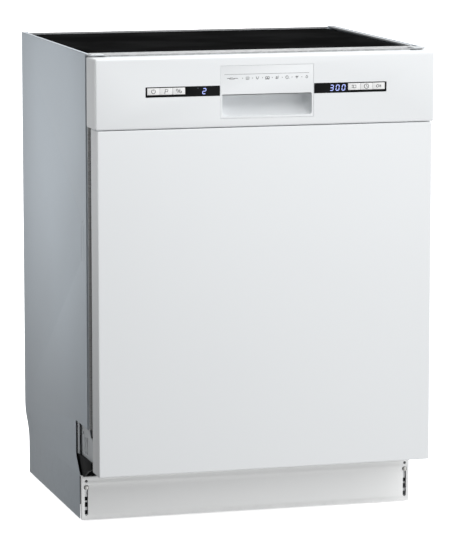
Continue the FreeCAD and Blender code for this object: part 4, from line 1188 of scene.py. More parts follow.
def make_plinth():
    """The kick plate with its keyhole slots and its returned ends."""
    low, high = box_of("plinth")
    slot_x = high.x - SLOT_INSET
    sheet = 1.2 * MM
    holes = []
    for side in SIDES.values():
        x = side * slot_x
        half, bottom, eye_z, eye = 2.85 * MM, 9.5 * MM, 59 * MM, 4.5 * MM
        turn = math.degrees(math.asin(half / eye))
        keyhole = arc_points((x, bottom + half), half, 180, 360, 8)
        keyhole += arc_points((x, eye_z), eye, -90 + turn, 270 - turn, 20)
        holes.append(keyhole)
        holes.append(circle(x, 70 * MM, 2.4 * MM, 16))
    face = plate("face", "y", low.y, low.y + sheet, [rectangle((low.x, low.z), (high.x, high.z), 1 * MM),
                                                     *holes], 0.3 * MM)
    fold_low = solid_box("fold", (low.x + 0.5 * MM, low.y, high.z - sheet),
                         (high.x - 0.5 * MM, high.y, high.z), 0.4 * MM)
    ends = []
    for side in SIDES.values():
        x0, x1 = mirrored(side, high.x - 1.1 * MM, high.x - 2.1 * MM)
        ends.append(solid_box("end", (x0, low.y + 0.2 * MM, low.z + 1 * MM),
                              (x1, low.y + 11 * MM, high.z - 0.2 * MM), 0.3 * MM))
    board = merged("kick_plate", [face, fold_low, *ends])
    # its enamel is the white lifted brighter: painted light for a face shaded by the door above it
    finished(board, "plinth_enamel", "cabinet", "plinth")


def make_plinth_fixings():
    """The plinth's screws and the slotted brackets behind it."""
    low, high = box_of("plinth")
    slot_x = high.x - SLOT_INSET
    heads = []
    for side in SIDES.values():
        x = side * slot_x
        heads.append(screw_head("screw", "y", (x, low.y + 0.2 * MM, 59 * MM), 3.7 * MM, 2.0 * MM, -1))
        heads.append(lathe("shank", "y", (x, low.y, 59 * MM), pin_profile(1.9 * MM, 0, 0.012), 20))
    pair = merged("plinth_screw_pair", heads)
    finished(pair, "zinc_screw", "cabinet", "plinth_screws")

    low, high = box_of("plinth_brackets")
    webs, width = [], 24 * MM
    for side in SIDES.values():
        x0, x1 = mirrored(side, high.x - width, high.x)
        middle = side * slot_x
        cuts = [rectangle((middle - 3.2 * MM, z0), (middle + 3.2 * MM, z1), 1 * MM)
                for z0, z1 in ((0.0112, 0.0185), (0.0240, 0.0325), (0.0355, 0.0420))]
        webs.append(plate("web", "y", low.y, low.y + 1.5 * MM,
                          [rectangle((x0, low.z), (x1, high.z), 1 * MM), *cuts], 0.2 * MM))
        webs.append(solid_box("foot", (x0, low.y, high.z - 1.5 * MM), (x1, high.y, high.z), 0.4 * MM))
    pair = merged("plinth_bracket_pair", webs)
    finished(pair, "galvanised", "cabinet", "plinth_brackets")


# ---------------------------------------------------------------- base and hinges

def leaning_block(name, low, high, lean, edge):
    """A block whose front leans back towards its top, with rounded edges."""
    block = solid_box(name, low, high, edge, 3)
    for vertex in block.data.vertices:
        if vertex.co.y < (low[1] + high[1]) / 2:
            vertex.co.y += lean * (vertex.co.z - low[2]) / (high[2] - low[2])
    return block


def make_base():
    """The moulded base: tray, ribs, corner blocks, tub bearers, foot bosses and the service wall."""
    low, high = box_of("base_tray")
    wall = 3.2 * MM
    plinth_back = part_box("plinth")[1].y + 2 * MM
    body_top = 0.060
    body = tray("tray", (low.x, plinth_back, low.z), (high.x, high.y, body_top), "+z", wall, 5 * MM)
    parts = [body]
    for y in (plinth_back + 0.08, plinth_back + 0.19, plinth_back + 0.30):
        parts.append(solid_box("rib", (low.x + wall, y, low.z + wall), (high.x - wall, y + 2 * MM, 0.044),
                               0.4 * MM))
    for x in (-0.18, -0.06, 0.06, 0.18):
        parts.append(solid_box("rib", (x, plinth_back + wall, low.z + wall),
                               (x + 2 * MM, high.y - wall, 0.040), 0.4 * MM))
    tub_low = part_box("tub")[0].z
    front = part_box("console")[0].y
    for side in SIDES.values():
        x0, x1 = mirrored(side, 0.257, 0.261)
        parts.append(solid_box("bearer", (x0, plinth_back + 0.045, low.z + wall), (x1, high.y, tub_low),
                               0.8 * MM))
        for y in (0.02, 0.10, 0.18):
            x0, x1 = mirrored(side, 0.261, high.x - 1 * MM)
            parts.append(solid_box("gusset", (x0, y, low.z + wall), (x1, y + 2.5 * MM, 0.095), 0.8 * MM))
        x0, x1 = mirrored(side, high.x - 0.046, high.x)
        parts.append(leaning_block("corner", (x0, front + 0.1205, 0.0788), (x1, front + 0.160, 0.112),
                                   30 * MM, 2.0 * MM))
        parts.append(solid_box("corner", (x0, plinth_back, 0.056), (x1, front + 0.160, 0.080), 1.5 * MM))
        # a black sheet right behind each keyhole slot of the plinth: painted shade, so the slot reads dark
        x2, x3 = mirrored(side, 0.2835, high.x)
        parts.append(solid_box("shield", (x2, plinth_back + 1 * MM, 0.005),
                               (x3, plinth_back + 3 * MM, 0.058), 0.5 * MM))
        x2, x3 = mirrored(side, 0.2914, high.x)
        cheek = [(front + 0.1185, 0.0788), (front + 0.152, 0.0788), (front + 0.152, 0.113),
                 (front + 0.062, 0.113), (front + 0.062, 0.101), (front + 0.086, 0.0935)]
        parts.append(plate("cheek", "x", x2, x3, [rounded(cheek, 1.5 * MM, 3)], 0.4 * MM))
        for x in (x0 + 12 * MM, x0 + 24 * MM, x0 + 36 * MM):
            parts.append(leaning_block("rib", (x, front + 0.1195, 0.0795),
                                       (x + 1.6 * MM, front + 0.150, 0.110), 28 * MM, 0.5 * MM))
    for name in FEET:
        place_at = mid(name)
        parts.append(lathe("boss", "z", (place_at.x, place_at.y, 0),
                           [(5.4 * MM, low.z - 0.5 * MM), (11 * MM, low.z - 0.5 * MM),
                            (12 * MM, low.z + 1.5 * MM), (11 * MM, body_top - 1 * MM), (10 * MM, body_top),
                            (5.4 * MM, body_top), (5.4 * MM, low.z)], 28))
    services = [(mid("inlet_valve").x, 17 * MM), (mid("drain_outlet").x, 15 * MM),
                (mid("cord_gland").x, 11 * MM)]
    rim = rectangle((low.x + 2 * MM, low.z + wall), (high.x - 2 * MM, 0.100), 8 * MM)
    parts.append(plate("rear_wall", "y", high.y - wall, high.y,
                       [rim, *[circle(x, SERVICE_Z, radius, 28) for x, radius in services]], 0.6 * MM))
    base = merged("base_moulding", parts)
    finished(base, "black_plastic", "cabinet", "base_tray")


def make_feet():
    """Adjustable feet: a pad with grip notches, on a threaded stud."""
    for name in FEET:
        low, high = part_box(name)
        x, y = (low.x + high.x) / 2, (low.y + high.y) / 2
        pad = 7 * MM
        profile = [(AXIS, 0), (13.4 * MM, 0), (15 * MM, 1.2 * MM), (15 * MM, pad - 2 * MM), (13 * MM, pad),
                   (9 * MM, pad), (8.6 * MM, pad + 5 * MM), (5 * MM, pad + 6 * MM)]
        pitch, z = 2.0 * MM, pad + 6 * MM
        while z < high.z - pitch:
            profile += [(4.3 * MM, z + pitch * 0.25), (5.0 * MM, z + pitch * 0.6),
                        (5.0 * MM, z + pitch * 0.75)]
            z += pitch
        profile += [(4.3 * MM, high.z - 0.6 * MM), (3.6 * MM, high.z), (AXIS, high.z)]
        foot = lathe(name + "_stud", "z", (x, y, 0), profile, 36)
        notches = [
            solid_box("notch", (u - 1 * MM, v - 1 * MM, 1.6 * MM), (u + 1 * MM, v + 1 * MM, 5.2 * MM))
            for u, v in around(x, y, 14.4 * MM, 12)
        ]
        cut_out(foot, [merged("notches", notches)])
        finished(foot, "black_plastic", name, name, slot="black_plastic")


def make_hinges():
    """Hinge plates with their pins, the arms on the door, and the balance springs with their links."""
    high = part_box("hinge_brackets")[1]
    pivot = Vector((0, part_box("console")[0].y + 66 * MM, 0.110))
    plates, arms, pins = [], [], []
    ear = 11 * MM
    back, top = high.y, high.z
    for side in SIDES.values():
        x0, x1 = mirrored(side, high.x - 2 * MM, high.x)
        outline = arc_points((pivot.y, pivot.z), ear, 180, 270, 8)
        outline += [(pivot.y + 16 * MM, 0.1063), (back, 0.1063), (back, top)]
        outline += [(pivot.y + 24 * MM, top)]
        outline += arc_points((pivot.y + 14 * MM, top - 22 * MM), 10 * MM, 60, 150, 6)
        web = plate("web", "x", x0, x1, [rounded(outline, 1 * MM, 2),
                                         circle(back - 20 * MM, top - 13 * MM, 4 * MM, 18),
                                         rectangle((back - 52 * MM, 0.1175), (back - 43 * MM, 0.149),
                                                   4 * MM), rectangle((back - 36 * MM, 0.1175),
                                                                      (back - 27 * MM, 0.149), 4 * MM)],
                    0.3 * MM)
        plates.append(web)
        strip = mirrored(side, high.x + 3.5 * MM, high.x + 5.5 * MM)
        plates.append(solid_box("strip", (strip[0], back - 10 * MM, 0.1125),
                                (strip[1], back + 1 * MM, 0.170), 0.4 * MM))
        inward = mirrored(side, high.x - 6 * MM, high.x)
        plates.append(solid_box("turned_edge", (inward[0], back - 2 * MM, 0.1075), (inward[1], back, top),
                                0.5 * MM))
        pins.append(lathe("pin", "x", (0, pivot.y, pivot.z), [
            (AXIS, side * (high.x - 10 * MM)), (3.6 * MM, side * (high.x - 10 * MM)),
            (3.95 * MM, side * (high.x - 9.4 * MM)), (3.95 * MM, side * (high.x - 0.2 * MM)),
            (5.4 * MM, side * (high.x - 0.2 * MM)), (5.2 * MM, side * (high.x + 0.9 * MM)),
            (AXIS, side * (high.x + 1.2 * MM))], 24))
        arm_low, arm_high = box_of("hinge_arms")
        x0, x1 = mirrored(side, arm_high.x - 2.5 * MM, arm_high.x)
        front = arm_low.y
        outline = [(front, pivot.z - ear)]
        outline += arc_points((pivot.y, pivot.z), ear, -90, 60, 10)
        outline += [(arm_high.y - 9 * MM, pivot.z + 2.4 * ear), (arm_high.y - 9 * MM, arm_high.z),
                    (front, arm_high.z)]
        holes = [circle(pivot.y, pivot.z, 4.05 * MM, 20)]
        holes += [circle(front + 4 * MM, z, 1.8 * MM, 12) for z in (0.17, 0.215, 0.28)]
        arms.append(plate("arm", "x", x0, x1, [outline, *holes], 0.25 * MM))
    for name, parts, finish, slot, body, nodes in (
            ("hinge_plates", plates, "bracket_white", "galvanised", "cabinet", ["hinge_brackets"]),
            ("hinge_pins", pins, "zinc_screw", "galvanised", "cabinet", []),
            ("door_arms", arms, "galvanised", "galvanised", "door", ["hinge_arms"])):
        piece = merged(name, parts)
        finished(piece, finish, body, *nodes, slot=slot)
    make_springs()


def make_springs():
    """The coil springs under the tub, with hooked ends and a link rod to the hinge."""
    low, high = box_of("balance_springs")
    paths = []
    coil_radius, wire = 6.8 * MM, 1.1 * MM
    x_middle, z = high.x - 8 * MM, (low.z + high.z) / 2
    start = high.y - 0.170
    turns, steps = 58, 14
    for side in SIDES.values():
        x = side * x_middle
        path = [(x, low.y, z), (x, start - 6 * MM, z), (x, start - 2 * MM, z + coil_radius * 0.5)]
        for i in range(turns * steps + 1):
            angle = math.radians(90 + 360 * i / steps)
            along = start + (high.y - 12 * MM - start) * i / (turns * steps)
            path.append((x + coil_radius * math.cos(angle), along, z + coil_radius * math.sin(angle)))
        path += [(x, high.y - 9 * MM, z + 2 * MM), (x, high.y - 4 * MM, z + 4 * MM),
                 (x, high.y - 1 * MM, z)]
        paths.append(path)
    springs = wires("spring_coils", paths, wire, 1)
    finished(springs, "spring_steel", "cabinet", "balance_springs", smooth=60)


def make_services():
    """Rear connections: the inlet valve with its threaded spigot, the drain spigot and the cord gland."""
    low, high = box_of("inlet_valve")
    x, z = (low.x + high.x) / 2, SERVICE_Z
    valve = solid_box("valve_body", (low.x, low.y, low.z), (high.x, high.y - 21.5 * MM, high.z), 4 * MM, 4)
    collar = high.y - 21 * MM
    profile = [(AXIS, collar - 2 * MM), (16.2 * MM, collar - 2 * MM), (16.2 * MM, collar + 2 * MM),
               (12.2 * MM, collar + 3 * MM)]
    pitch, y = 1.9 * MM, collar + 3 * MM
    while y < high.y - pitch * 1.5:
        profile += [(12.2 * MM, y + pitch * 0.2), (13.1 * MM, y + pitch * 0.55),
                    (13.1 * MM, y + pitch * 0.7)]
        y += pitch
    profile += [(12.2 * MM, high.y - 1 * MM), (11.6 * MM, high.y), (8.1 * MM, high.y),
                (8 * MM, high.y - 15 * MM), (AXIS, high.y - 15 * MM)]
    spigot = lathe("spigot", "y", (x, 0, z), profile, 40)
    screen = wires("inlet_screen", [[(x + o, high.y - 6 * MM, z - 6.5 * MM),
                                     (x + o, high.y - 6 * MM, z + 6.5 * MM)]
                                    for o in (-4.5 * MM, -1.5 * MM, 1.5 * MM, 4.5 * MM)], 0.5 * MM, 1)
    inlet = merged("inlet", [valve, spigot, screen])
    finished(inlet, "clear_grey_plastic", "cabinet", "inlet_valve")

    low, high = box_of("drain_outlet")
    x = (low.x + high.x) / 2
    start, reach = high.y - 18 * MM, 18 * MM
    profile = [(7.9 * MM, low.y), (13.2 * MM, low.y), (13.4 * MM, start), (9.6 * MM, start)]
    for step in range(3):
        y = start + reach * (0.1 + 0.28 * step)
        profile += [(9.6 * MM, y), (10.5 * MM, y + 1 * MM), (9.7 * MM, y + reach * 0.24)]
    profile += [(9.2 * MM, high.y), (7.9 * MM, high.y), (7.9 * MM, low.y)]
    drain = lathe("drain", "y", (x, 0, z), profile, 36)
    finished(drain, "grey_plastic", "cabinet", "drain_outlet")

    low, high = box_of("cord_gland")
    x, middle_z = (low.x + high.x) / 2, (low.z + high.z) / 2
    outer = (high.x - low.x) / 2
    bore = 4.6 * MM
    profile = [(bore, low.y), (outer, low.y), (outer, low.y + 2 * MM), (outer - 1.2 * MM, low.y + 3.2 * MM)]
    length = high.y - low.y
    for step in range(4):
        y = low.y + length * (0.3 + 0.16 * step)
        profile += [(outer - 0.9 * MM, y), (outer - 0.9 * MM, y + length * 0.07),
                    (outer - 2.0 * MM, y + length * 0.09)]
    profile += [(outer - 2.2 * MM, high.y), (bore, high.y), (bore, low.y)]
    gland = lathe("gland", "y", (x, 0, middle_z), profile, 32)
    finished(gland, "black_plastic", "cabinet", "cord_gland")


# ---------------------------------------------------------------- tub and seals

def make_tub():
    """The tub: a rounded box with a pressed flange, raised fields and a well in the floor."""
    low, high = box_of("tub")
    outer, top, floor = TUB_HALF, 0.790, TUB_FLOOR
    flange_back = low.y + 4 * MM
    well, salt = mid("sump"), mid("salt_cap")
    shell = tray("shell", (-outer, low.y + 0.2 * MM, floor), (outer, high.y, top), "-y", 1.2 * MM, 22 * MM,
                 6)
    holes = [
        lathe("hole", "z", (well.x, well.y, floor), pin_profile(0.070, -0.01, 0.01), 56),
        lathe("hole", "z", (salt.x, salt.y, floor), pin_profile(0.0245, -0.01, 0.01),
              36),
    ]
    cut_out(shell, holes)
    mouth = rectangle((-outer + 1.2 * MM, floor + 1.2 * MM), (outer - 1.2 * MM, top - 1.2 * MM), 21 * MM, 8)
    shoulder, low_half = OPENING_TOP, 0.276
    rim = [(-high.x, shoulder), (-low_half, shoulder), (-low_half, low.z), (low_half, low.z),
           (low_half, shoulder), (high.x, shoulder), (high.x, high.z), (-high.x, high.z)]
    flange = plate("flange", "y", low.y, low.y + 1.2 * MM, [rounded(rim, 2 * MM, 3), mouth], 0.3 * MM)
    parts, lips = [shell, flange], []
    for side in SIDES.values():
        x0, x1 = mirrored(side, high.x - 1.0 * MM, high.x)
        lips.append(solid_box("lip", (x0, low.y, shoulder), (x1, flange_back, high.z), 0.3 * MM))
        x0, x1 = mirrored(side, outer - 1.9 * MM, outer - 1.0 * MM)
        for z in (0.26, 0.38, 0.62, 0.70):
            parts.append(solid_box("rib", (x0, -0.14, z), (x1, 0.20, z + 0.014), 0.8 * MM))
    back = high.y - 1.9 * MM
    for z0, z1 in ((0.20, 0.44), (0.47, 0.72)):
        outline = rectangle((-0.20, z0), (0.20, z1), 0.03)
        hole = rectangle((-0.185, z0 + 0.015), (0.185, z1 - 0.015), 0.02)
        parts.append(plate("field", "y", back, back + 1 * MM, [outline, hole], 0.4 * MM))
    ring = [(0.0712, 1.2), (0.0735, 2.6), (0.082, 2.4), (0.090, 1.2), (0.090, 0.9), (0.0712, 0.9),
            (0.0712, 1.2)]
    parts.append(lathe("well_ring", "z", (well.x, well.y, floor),
                       [(r, h * MM * 0.55 + 0.5 * MM) for r, h in ring], 56))
    finished(merged("tub_shell", parts), "stainless", "cabinet", "tub")
    lips = merged("flange_lips", lips)
    finished(lips, "bracket_white", "cabinet", slot="stainless")


def make_seals():
    """The gasket around the tub's mouth and the lip seal under the door."""
    low, high = box_of("door_gasket")
    middle = (low.y + high.y) / 2 - 0.2 * MM
    half = high.x - 3 * MM
    path = bent([(-half, middle, low.z), (-half, middle, high.z - 3 * MM), (half, middle, high.z - 3 * MM),
                 (half, middle, low.z)], 9 * MM, 8)
    bulb = wires("bulb", [path], 1.9 * MM, 2)
    inner = half - 3 * MM
    strip = [(-high.x, low.z), (-inner, low.z), (-inner, high.z - 6 * MM), (inner, high.z - 6 * MM),
             (inner, low.z), (high.x, low.z), (high.x, high.z), (-high.x, high.z)]
    radii = [0, 0, 6 * MM, 6 * MM, 0, 0, 12 * MM, 12 * MM]
    base = plate("base", "y", high.y - 1.4 * MM, high.y - 0.1 * MM, [rounded(strip, radii)], 0.3 * MM)
    finished(merged("door_gasket_profile", [bulb, base]), "seal_rubber", "cabinet", "door_gasket",
             smooth=50)

    low, high = box_of("lower_door_seal")
    lip = [(high.y, low.z + 1 * MM), (high.y, high.z), (high.y - 1.2 * MM, high.z),
           (high.y - 1.4 * MM, low.z + 5 * MM), (low.y + 1.2 * MM, high.z - 2 * MM),
           (low.y + 0.4 * MM, high.z - 3 * MM), (low.y + 1.6 * MM, low.z + 2 * MM),
           (high.y - 1 * MM, low.z)]
    seal = plate("lower_seal_lip", "x", low.x, high.x, [rounded(lip, 0.5 * MM, 3)])
    finished(seal, "seal_rubber", "cabinet", "lower_door_seal", smooth=50)


def make_strike():
    """The wire loop that the latch holds."""
    low, high = box_of("latch_strike")
    half = high.x - 1.2 * MM
    z = (low.z + high.z) / 2
    loop = bent([(-half, high.y - 0.5 * MM, z), (-half, low.y + 1.2 * MM, z), (half, low.y + 1.2 * MM, z),
                 (half, high.y - 0.5 * MM, z)], 1.5 * MM, 4)
    hoop = wires("hoop", [loop], 1.15 * MM, 2)
    foot = solid_box("foot", (low.x, high.y - 1.2 * MM, low.z), (high.x, high.y, high.z), 0.4 * MM)
    finished(merged("strike_loop", [hoop, foot]), "zinc_screw", "cabinet", "latch_strike")


# ---------------------------------------------------------------- inner door

def make_liner():
    """The inner door: a dished, ridged sheet with openings for the dispenser and the latch."""
    low, high = box_of("door_liner")
    body_low, body_high = box_of("dispenser_body")
    shell = tray("rim", low, high, "-y", 1.0 * MM, 5 * MM, 4)
    field_low, field_high = (low.x + 0.030, low.z + 0.045), (high.x - 0.030, high.z - 0.042)
    window = plate("window", "y", high.y - 6 * MM, high.y + 6 * MM,
                   [rectangle((field_low[0] + 2 * MM, field_low[1] + 2 * MM),
                              (field_high[0] - 2 * MM, field_high[1] - 2 * MM), 0.038, 8)])
    strike = box_of("latch_strike")
    slot = solid_box("slot", (strike[0].x - 5 * MM, high.y - 8 * MM, strike[0].z - 3 * MM),
                     (strike[1].x + 5 * MM, high.y + 8 * MM, strike[1].z + 3 * MM), 1.5 * MM)
    cut_out(shell, [window, slot])

    def height(x, z):
        edge = inset_of(x, z, field_low, field_high, 0.040)
        dish = 4.2 * MM * smooth_step(edge, 2 * MM, 16 * MM)
        lower = inset_of(x, z, (-0.215, 0.185), (0.215, 0.405), 0.02)
        ridges = 1.6 * MM * smooth_step(lower, 0, 10 * MM) * (0.5 + 0.5 * math.cos(x * 2 * math.pi / 0.043))
        upper = inset_of(x, z, (-0.215, 0.675), (0.215, 0.735), 0.02)
        frame_edge = inset_of(x, z, (body_low.x - 0.014, body_low.z - 0.014),
                              (body_high.x + 0.014, body_high.z + 0.014), 0.014)
        return (high.y - 0.2 * MM - dish + ridges + 1.4 * MM * smooth_step(upper, 0, 9 * MM)
                + 2.2 * MM * smooth_step(frame_edge, -6 * MM, 6 * MM))

    sheet = pressed_sheet("field", "y", field_low, field_high, 150, 170, height, 0.9 * MM, 1)
    gap = 0.2 * MM
    hole = solid_box("hole", (body_low.x - gap, high.y - 0.03, body_low.z - gap),
                     (body_high.x + gap, high.y + 0.03, body_high.z + gap))
    corner_cut = corner_trim(sheet, field_low, field_high, 0.040)
    cut_out(corner_cut, [hole])
    finished(merged("inner_door_sheet", [shell, corner_cut]), "stainless", "door", "door_liner", smooth=28)

    panel = box_of("door_panel")
    batt = solid_box("insulation_batt", (panel[0].x + 0.022, panel[0].y + 3 * MM, panel[0].z + 0.03),
                     (panel[1].x - 0.022, low.y - 10 * MM, panel[1].z - 0.03), 5 * MM, 3)
    batt.name = "door_insulation"
    finished(batt, "insulation", "door", slot="sound_mat")


def corner_trim(sheet, low, high, corner):
    """Pulls the corners of a rectangular sheet in to a rounded outline."""
    middle = ((low[0] + high[0]) / 2, (low[1] + high[1]) / 2)
    half = ((high[0] - low[0]) / 2, (high[1] - low[1]) / 2)
    for vertex in sheet.data.vertices:
        u, w = vertex.co.x - middle[0], vertex.co.z - middle[1]
        a, b = abs(u) - half[0] + corner, abs(w) - half[1] + corner
        if a > 0 and b > 0 and math.hypot(a, b) > corner:
            keep = corner / math.hypot(a, b)
            vertex.co.x = middle[0] + math.copysign(half[0] - corner + a * keep, u)
            vertex.co.z = middle[1] + math.copysign(half[1] - corner + b * keep, w)
    return sheet


def make_dispenser():
    """The detergent dispenser: housing, sliding lid with a catch, and the rinse-aid cap."""
    low, high = box_of("dispenser_body")
    housing = solid_box("housing", low, high, 4 * MM, 4)
    chamber = solid_box("chamber", (-0.084, high.y - 0.026, 0.470), (-0.016, high.y + 0.01, 0.560), 7 * MM,
                        4)
    cap = mid("rinse_cap")
    socket = lathe("socket", "y", (cap.x, high.y, cap.z), pin_profile(0.0155, -0.013, 0.01), 36)
    cut_out(housing, [chamber, socket])
    parts = [housing]
    frame_hole = rectangle((-0.0835, 0.4705), (-0.0165, 0.5595), 7 * MM)
    lid_low, lid_high = box_of("dispenser_lid")
    for x in (lid_low.x - 1.6 * MM, lid_high.x + 0.4 * MM):
        parts.append(solid_box("guide", (x, high.y - 1 * MM, lid_low.z),
                               (x + 1.2 * MM, high.y + 1.0 * MM, 0.618), 0.4 * MM))
    parts.append(plate("seat", "y", high.y - 0.6 * MM, high.y + 0.1 * MM,
                       [rectangle((-0.0865, 0.4675), (-0.0135, 0.5625), 8 * MM), frame_hole], 0.15 * MM))
    for i in range(4):
        parts.append(lathe("tick", "y", (0.052 + 4 * MM * (i % 2), high.y, 0.53 + 9 * MM * i),
                           [(AXIS, -0.5 * MM), (1.4 * MM, -0.5 * MM), (1.4 * MM, 0.3 * MM),
                            (AXIS, 0.45 * MM)], 16))
    finished(merged("dispenser_housing", parts), "grey_plastic", "door", "dispenser_body")

    y0, y1 = lid_low.y, lid_high.y
    lid = plate("lid", "y", y0, y1, [rectangle((lid_low.x, lid_low.z), (lid_high.x, lid_high.z), 7 * MM)],
                0.5 * MM)
    centre = mid("dispenser_lid")
    grip = plate("grip", "y", y1 - 0.2 * MM, y1 + 1.6 * MM, [rectangle((centre.x - 0.014,
            lid_high.z - 0.016), (centre.x + 0.014, lid_high.z - 0.007), 4 * MM)], 0.6 * MM)
    ridges = [solid_box("ridge", (lid_low.x + 0.012, y1 - 0.2 * MM, z),
                        (lid_high.x - 0.012, y1 + 0.4 * MM, z + 1.6 * MM), 0.25 * MM)
              for z in (0.492, 0.500, 0.508, 0.516)]
    finished(merged("lid_plate", [lid, grip, *ridges]), "clear_grey_plastic", "dispenser_lid",
             "dispenser_lid")

    low, high = box_of("rinse_cap")
    radius = (high.x - low.x) / 2
    neck = 0.0146
    face = high.y
    profile = [(AXIS, low.y), (neck - 1 * MM, low.y), (neck, low.y + 1 * MM), (neck, face - 3 * MM),
               (radius - 0.4 * MM, face - 3 * MM), (radius, face - 2.6 * MM), (radius, face - 0.8 * MM),
               (radius - 0.8 * MM, face), (AXIS, face)]
    cap_body = lathe("cap", "y", (cap.x, 0, cap.z), profile, 40)
    bar = solid_box("bar", (cap.x - 3 * MM, face - 0.5 * MM, cap.z - 0.016),
                    (cap.x + 3 * MM, face + 1.6 * MM, cap.z + 0.016), 1.5 * MM, 3)
    finished(merged("rinse_cap_body", [cap_body, bar]), "blue_cap", "rinse_cap", "rinse_cap")


def make_latch_and_boards():
    """The latch inside the door's head and the two electronics boards with their parts."""
    low, high = box_of("door_latch")
    case = solid_box("case", low, high, 1.6 * MM, 3)
    slot = solid_box("slot", (-5 * MM, high.y - 0.014, 0.7925), (5 * MM, high.y + 0.01, 0.8035), 0.8 * MM)
    cut_out(case, [slot])
    tongue = lathe("roller", "x", (0, high.y - 0.011, 0.7895), pin_profile(2 * MM, -4 * MM, 4 * MM), 16)
    finished(merged("latch_case", [case, tongue]), "grey_plastic", "door", "door_latch")

    low, high = box_of("control_boards")
    window = box_of("right_window")
    parts, chips = [], []
    for side in SIDES.values():
        x0, x1 = mirrored(side, window[0].x + 1 * MM, high.x)
        outline = rectangle((x0, low.z), (x1, high.z), 2 * MM)
        holes = [circle(x, z, 1.6 * MM, 12) for x in (x0 + 5 * MM, x1 - 5 * MM)
                 for z in (low.z + 5 * MM, high.z - 5 * MM)]
        parts.append(plate("board", "y", low.y, high.y, [outline, *holes], 0.1 * MM))
        for i, width in enumerate((9, 6, 12, 5)):
            x = x0 + 0.016 + i * 0.019
            chips.append(solid_box("chip", (x, high.y - 0.1 * MM, low.z + 12 * MM),
                                   (x + width * MM, high.y + 2 * MM, low.z + 12 * MM + width * MM),
                                   0.4 * MM))
            chips.append(lathe("can", "y", (x + 3 * MM, 0, high.z - 8 * MM), [
                (AXIS, high.y), (3 * MM, high.y), (3 * MM, high.y + 7 * MM), (2.6 * MM, high.y + 7.6 * MM),
                (AXIS, high.y + 7.6 * MM)], 18))
    boards = merged("board_plates", parts)
    finished(boards, "board_green", "door", "control_boards")
    chips = merged("board_parts", chips)
    finished(chips, "black_plastic", "door")


# ---------------------------------------------------------------- racks

def spread(start, stop, pitch):
    """Evenly spaced places from start to stop at about one pitch."""
    count = max(1, round((stop - start) / pitch))
    return [start + (stop - start) * i / count for i in range(count + 1)]


def basket_wires(low, high, top, tine, tine_span, tine_pitch, shape, waist):
    """A rack's coated wires: looped floor wires both ways, rims, and rows of paired tines."""
    r, frame_r = shape.wire_radius, shape.frame_radius
    x0, x1, y0, y1 = low.x + frame_r, high.x - frame_r, low.y + frame_r, high.y - frame_r
    floor_z, rim_z = low.z + r + 2 * MM, top - frame_r
    thin, rims = [], []
    across = spread(low.x + 2 * MM, high.x - 2 * MM, 0.048)
    for x in across[1:-1]:
        thin.append(bent([(x, y0, rim_z), (x, y0, floor_z), (x, y1, floor_z), (x, y1, rim_z)], 14 * MM, 5))
    for y in spread(y0, y1, 0.048)[1:-1]:
        z = floor_z - 2 * r
        thin.append(bent([(x0, y, rim_z), (x0, y, z), (x1, y, z), (x1, y, rim_z)], 14 * MM, 5))
    for z in (rim_z, (rim_z + floor_z) / 2 + waist):
        corners = [(x0, y0, z), (x1, y0, z), (x1, y1, z), (x0, y1, z)]
        rims.append(bent(corners, 18 * MM, 6, closed=True))
    for x in across:
        if not tine_span[0] < x < tine_span[1]:
            continue
        places = spread(low.y + tine_pitch, high.y - tine_pitch, tine_pitch)
        for first, second in zip(places[::2], places[1::2]):
            height = low.z + tine - r
            lean = 0.10 * (height - floor_z)
            thin.append(bent([(x + 2 * r, first, floor_z), (x + 2 * r, first + lean, height),
                              (x + 2 * r, second + lean, height), (x + 2 * r, second, floor_z)], 9 * MM, 4))
    return merged("rack_wires", [wires("thin", thin, r, 1), wires("rims", rims, frame_r, 1, closed=True)])


def make_upper_rack(shape):
    """The upper rack's basket and its grip."""
    low, high = box_of("upper_basket")
    basket = basket_wires(low, high, high.z, 0.046, (-0.063, high.x - 0.024), 0.030, shape, 0.006)
    grip = solid_box("grip", (-0.075, low.y - 1.5 * MM, high.z - 0.021),
                     (0.075, low.y + 7 * MM, high.z + 1 * MM), 3 * MM, 3)
    grip_hole = solid_box("hole", (-0.060, low.y - 9 * MM, high.z - 0.017),
                          (0.060, low.y + 2 * MM, high.z - 7 * MM), 2 * MM)
    cut_out(grip, [grip_hole])
    finished(basket, "wire_coating", "upper_rack", "upper_basket", smooth=60)
    finished(grip, "grey_plastic", "upper_rack").name = "upper_rack_grip"


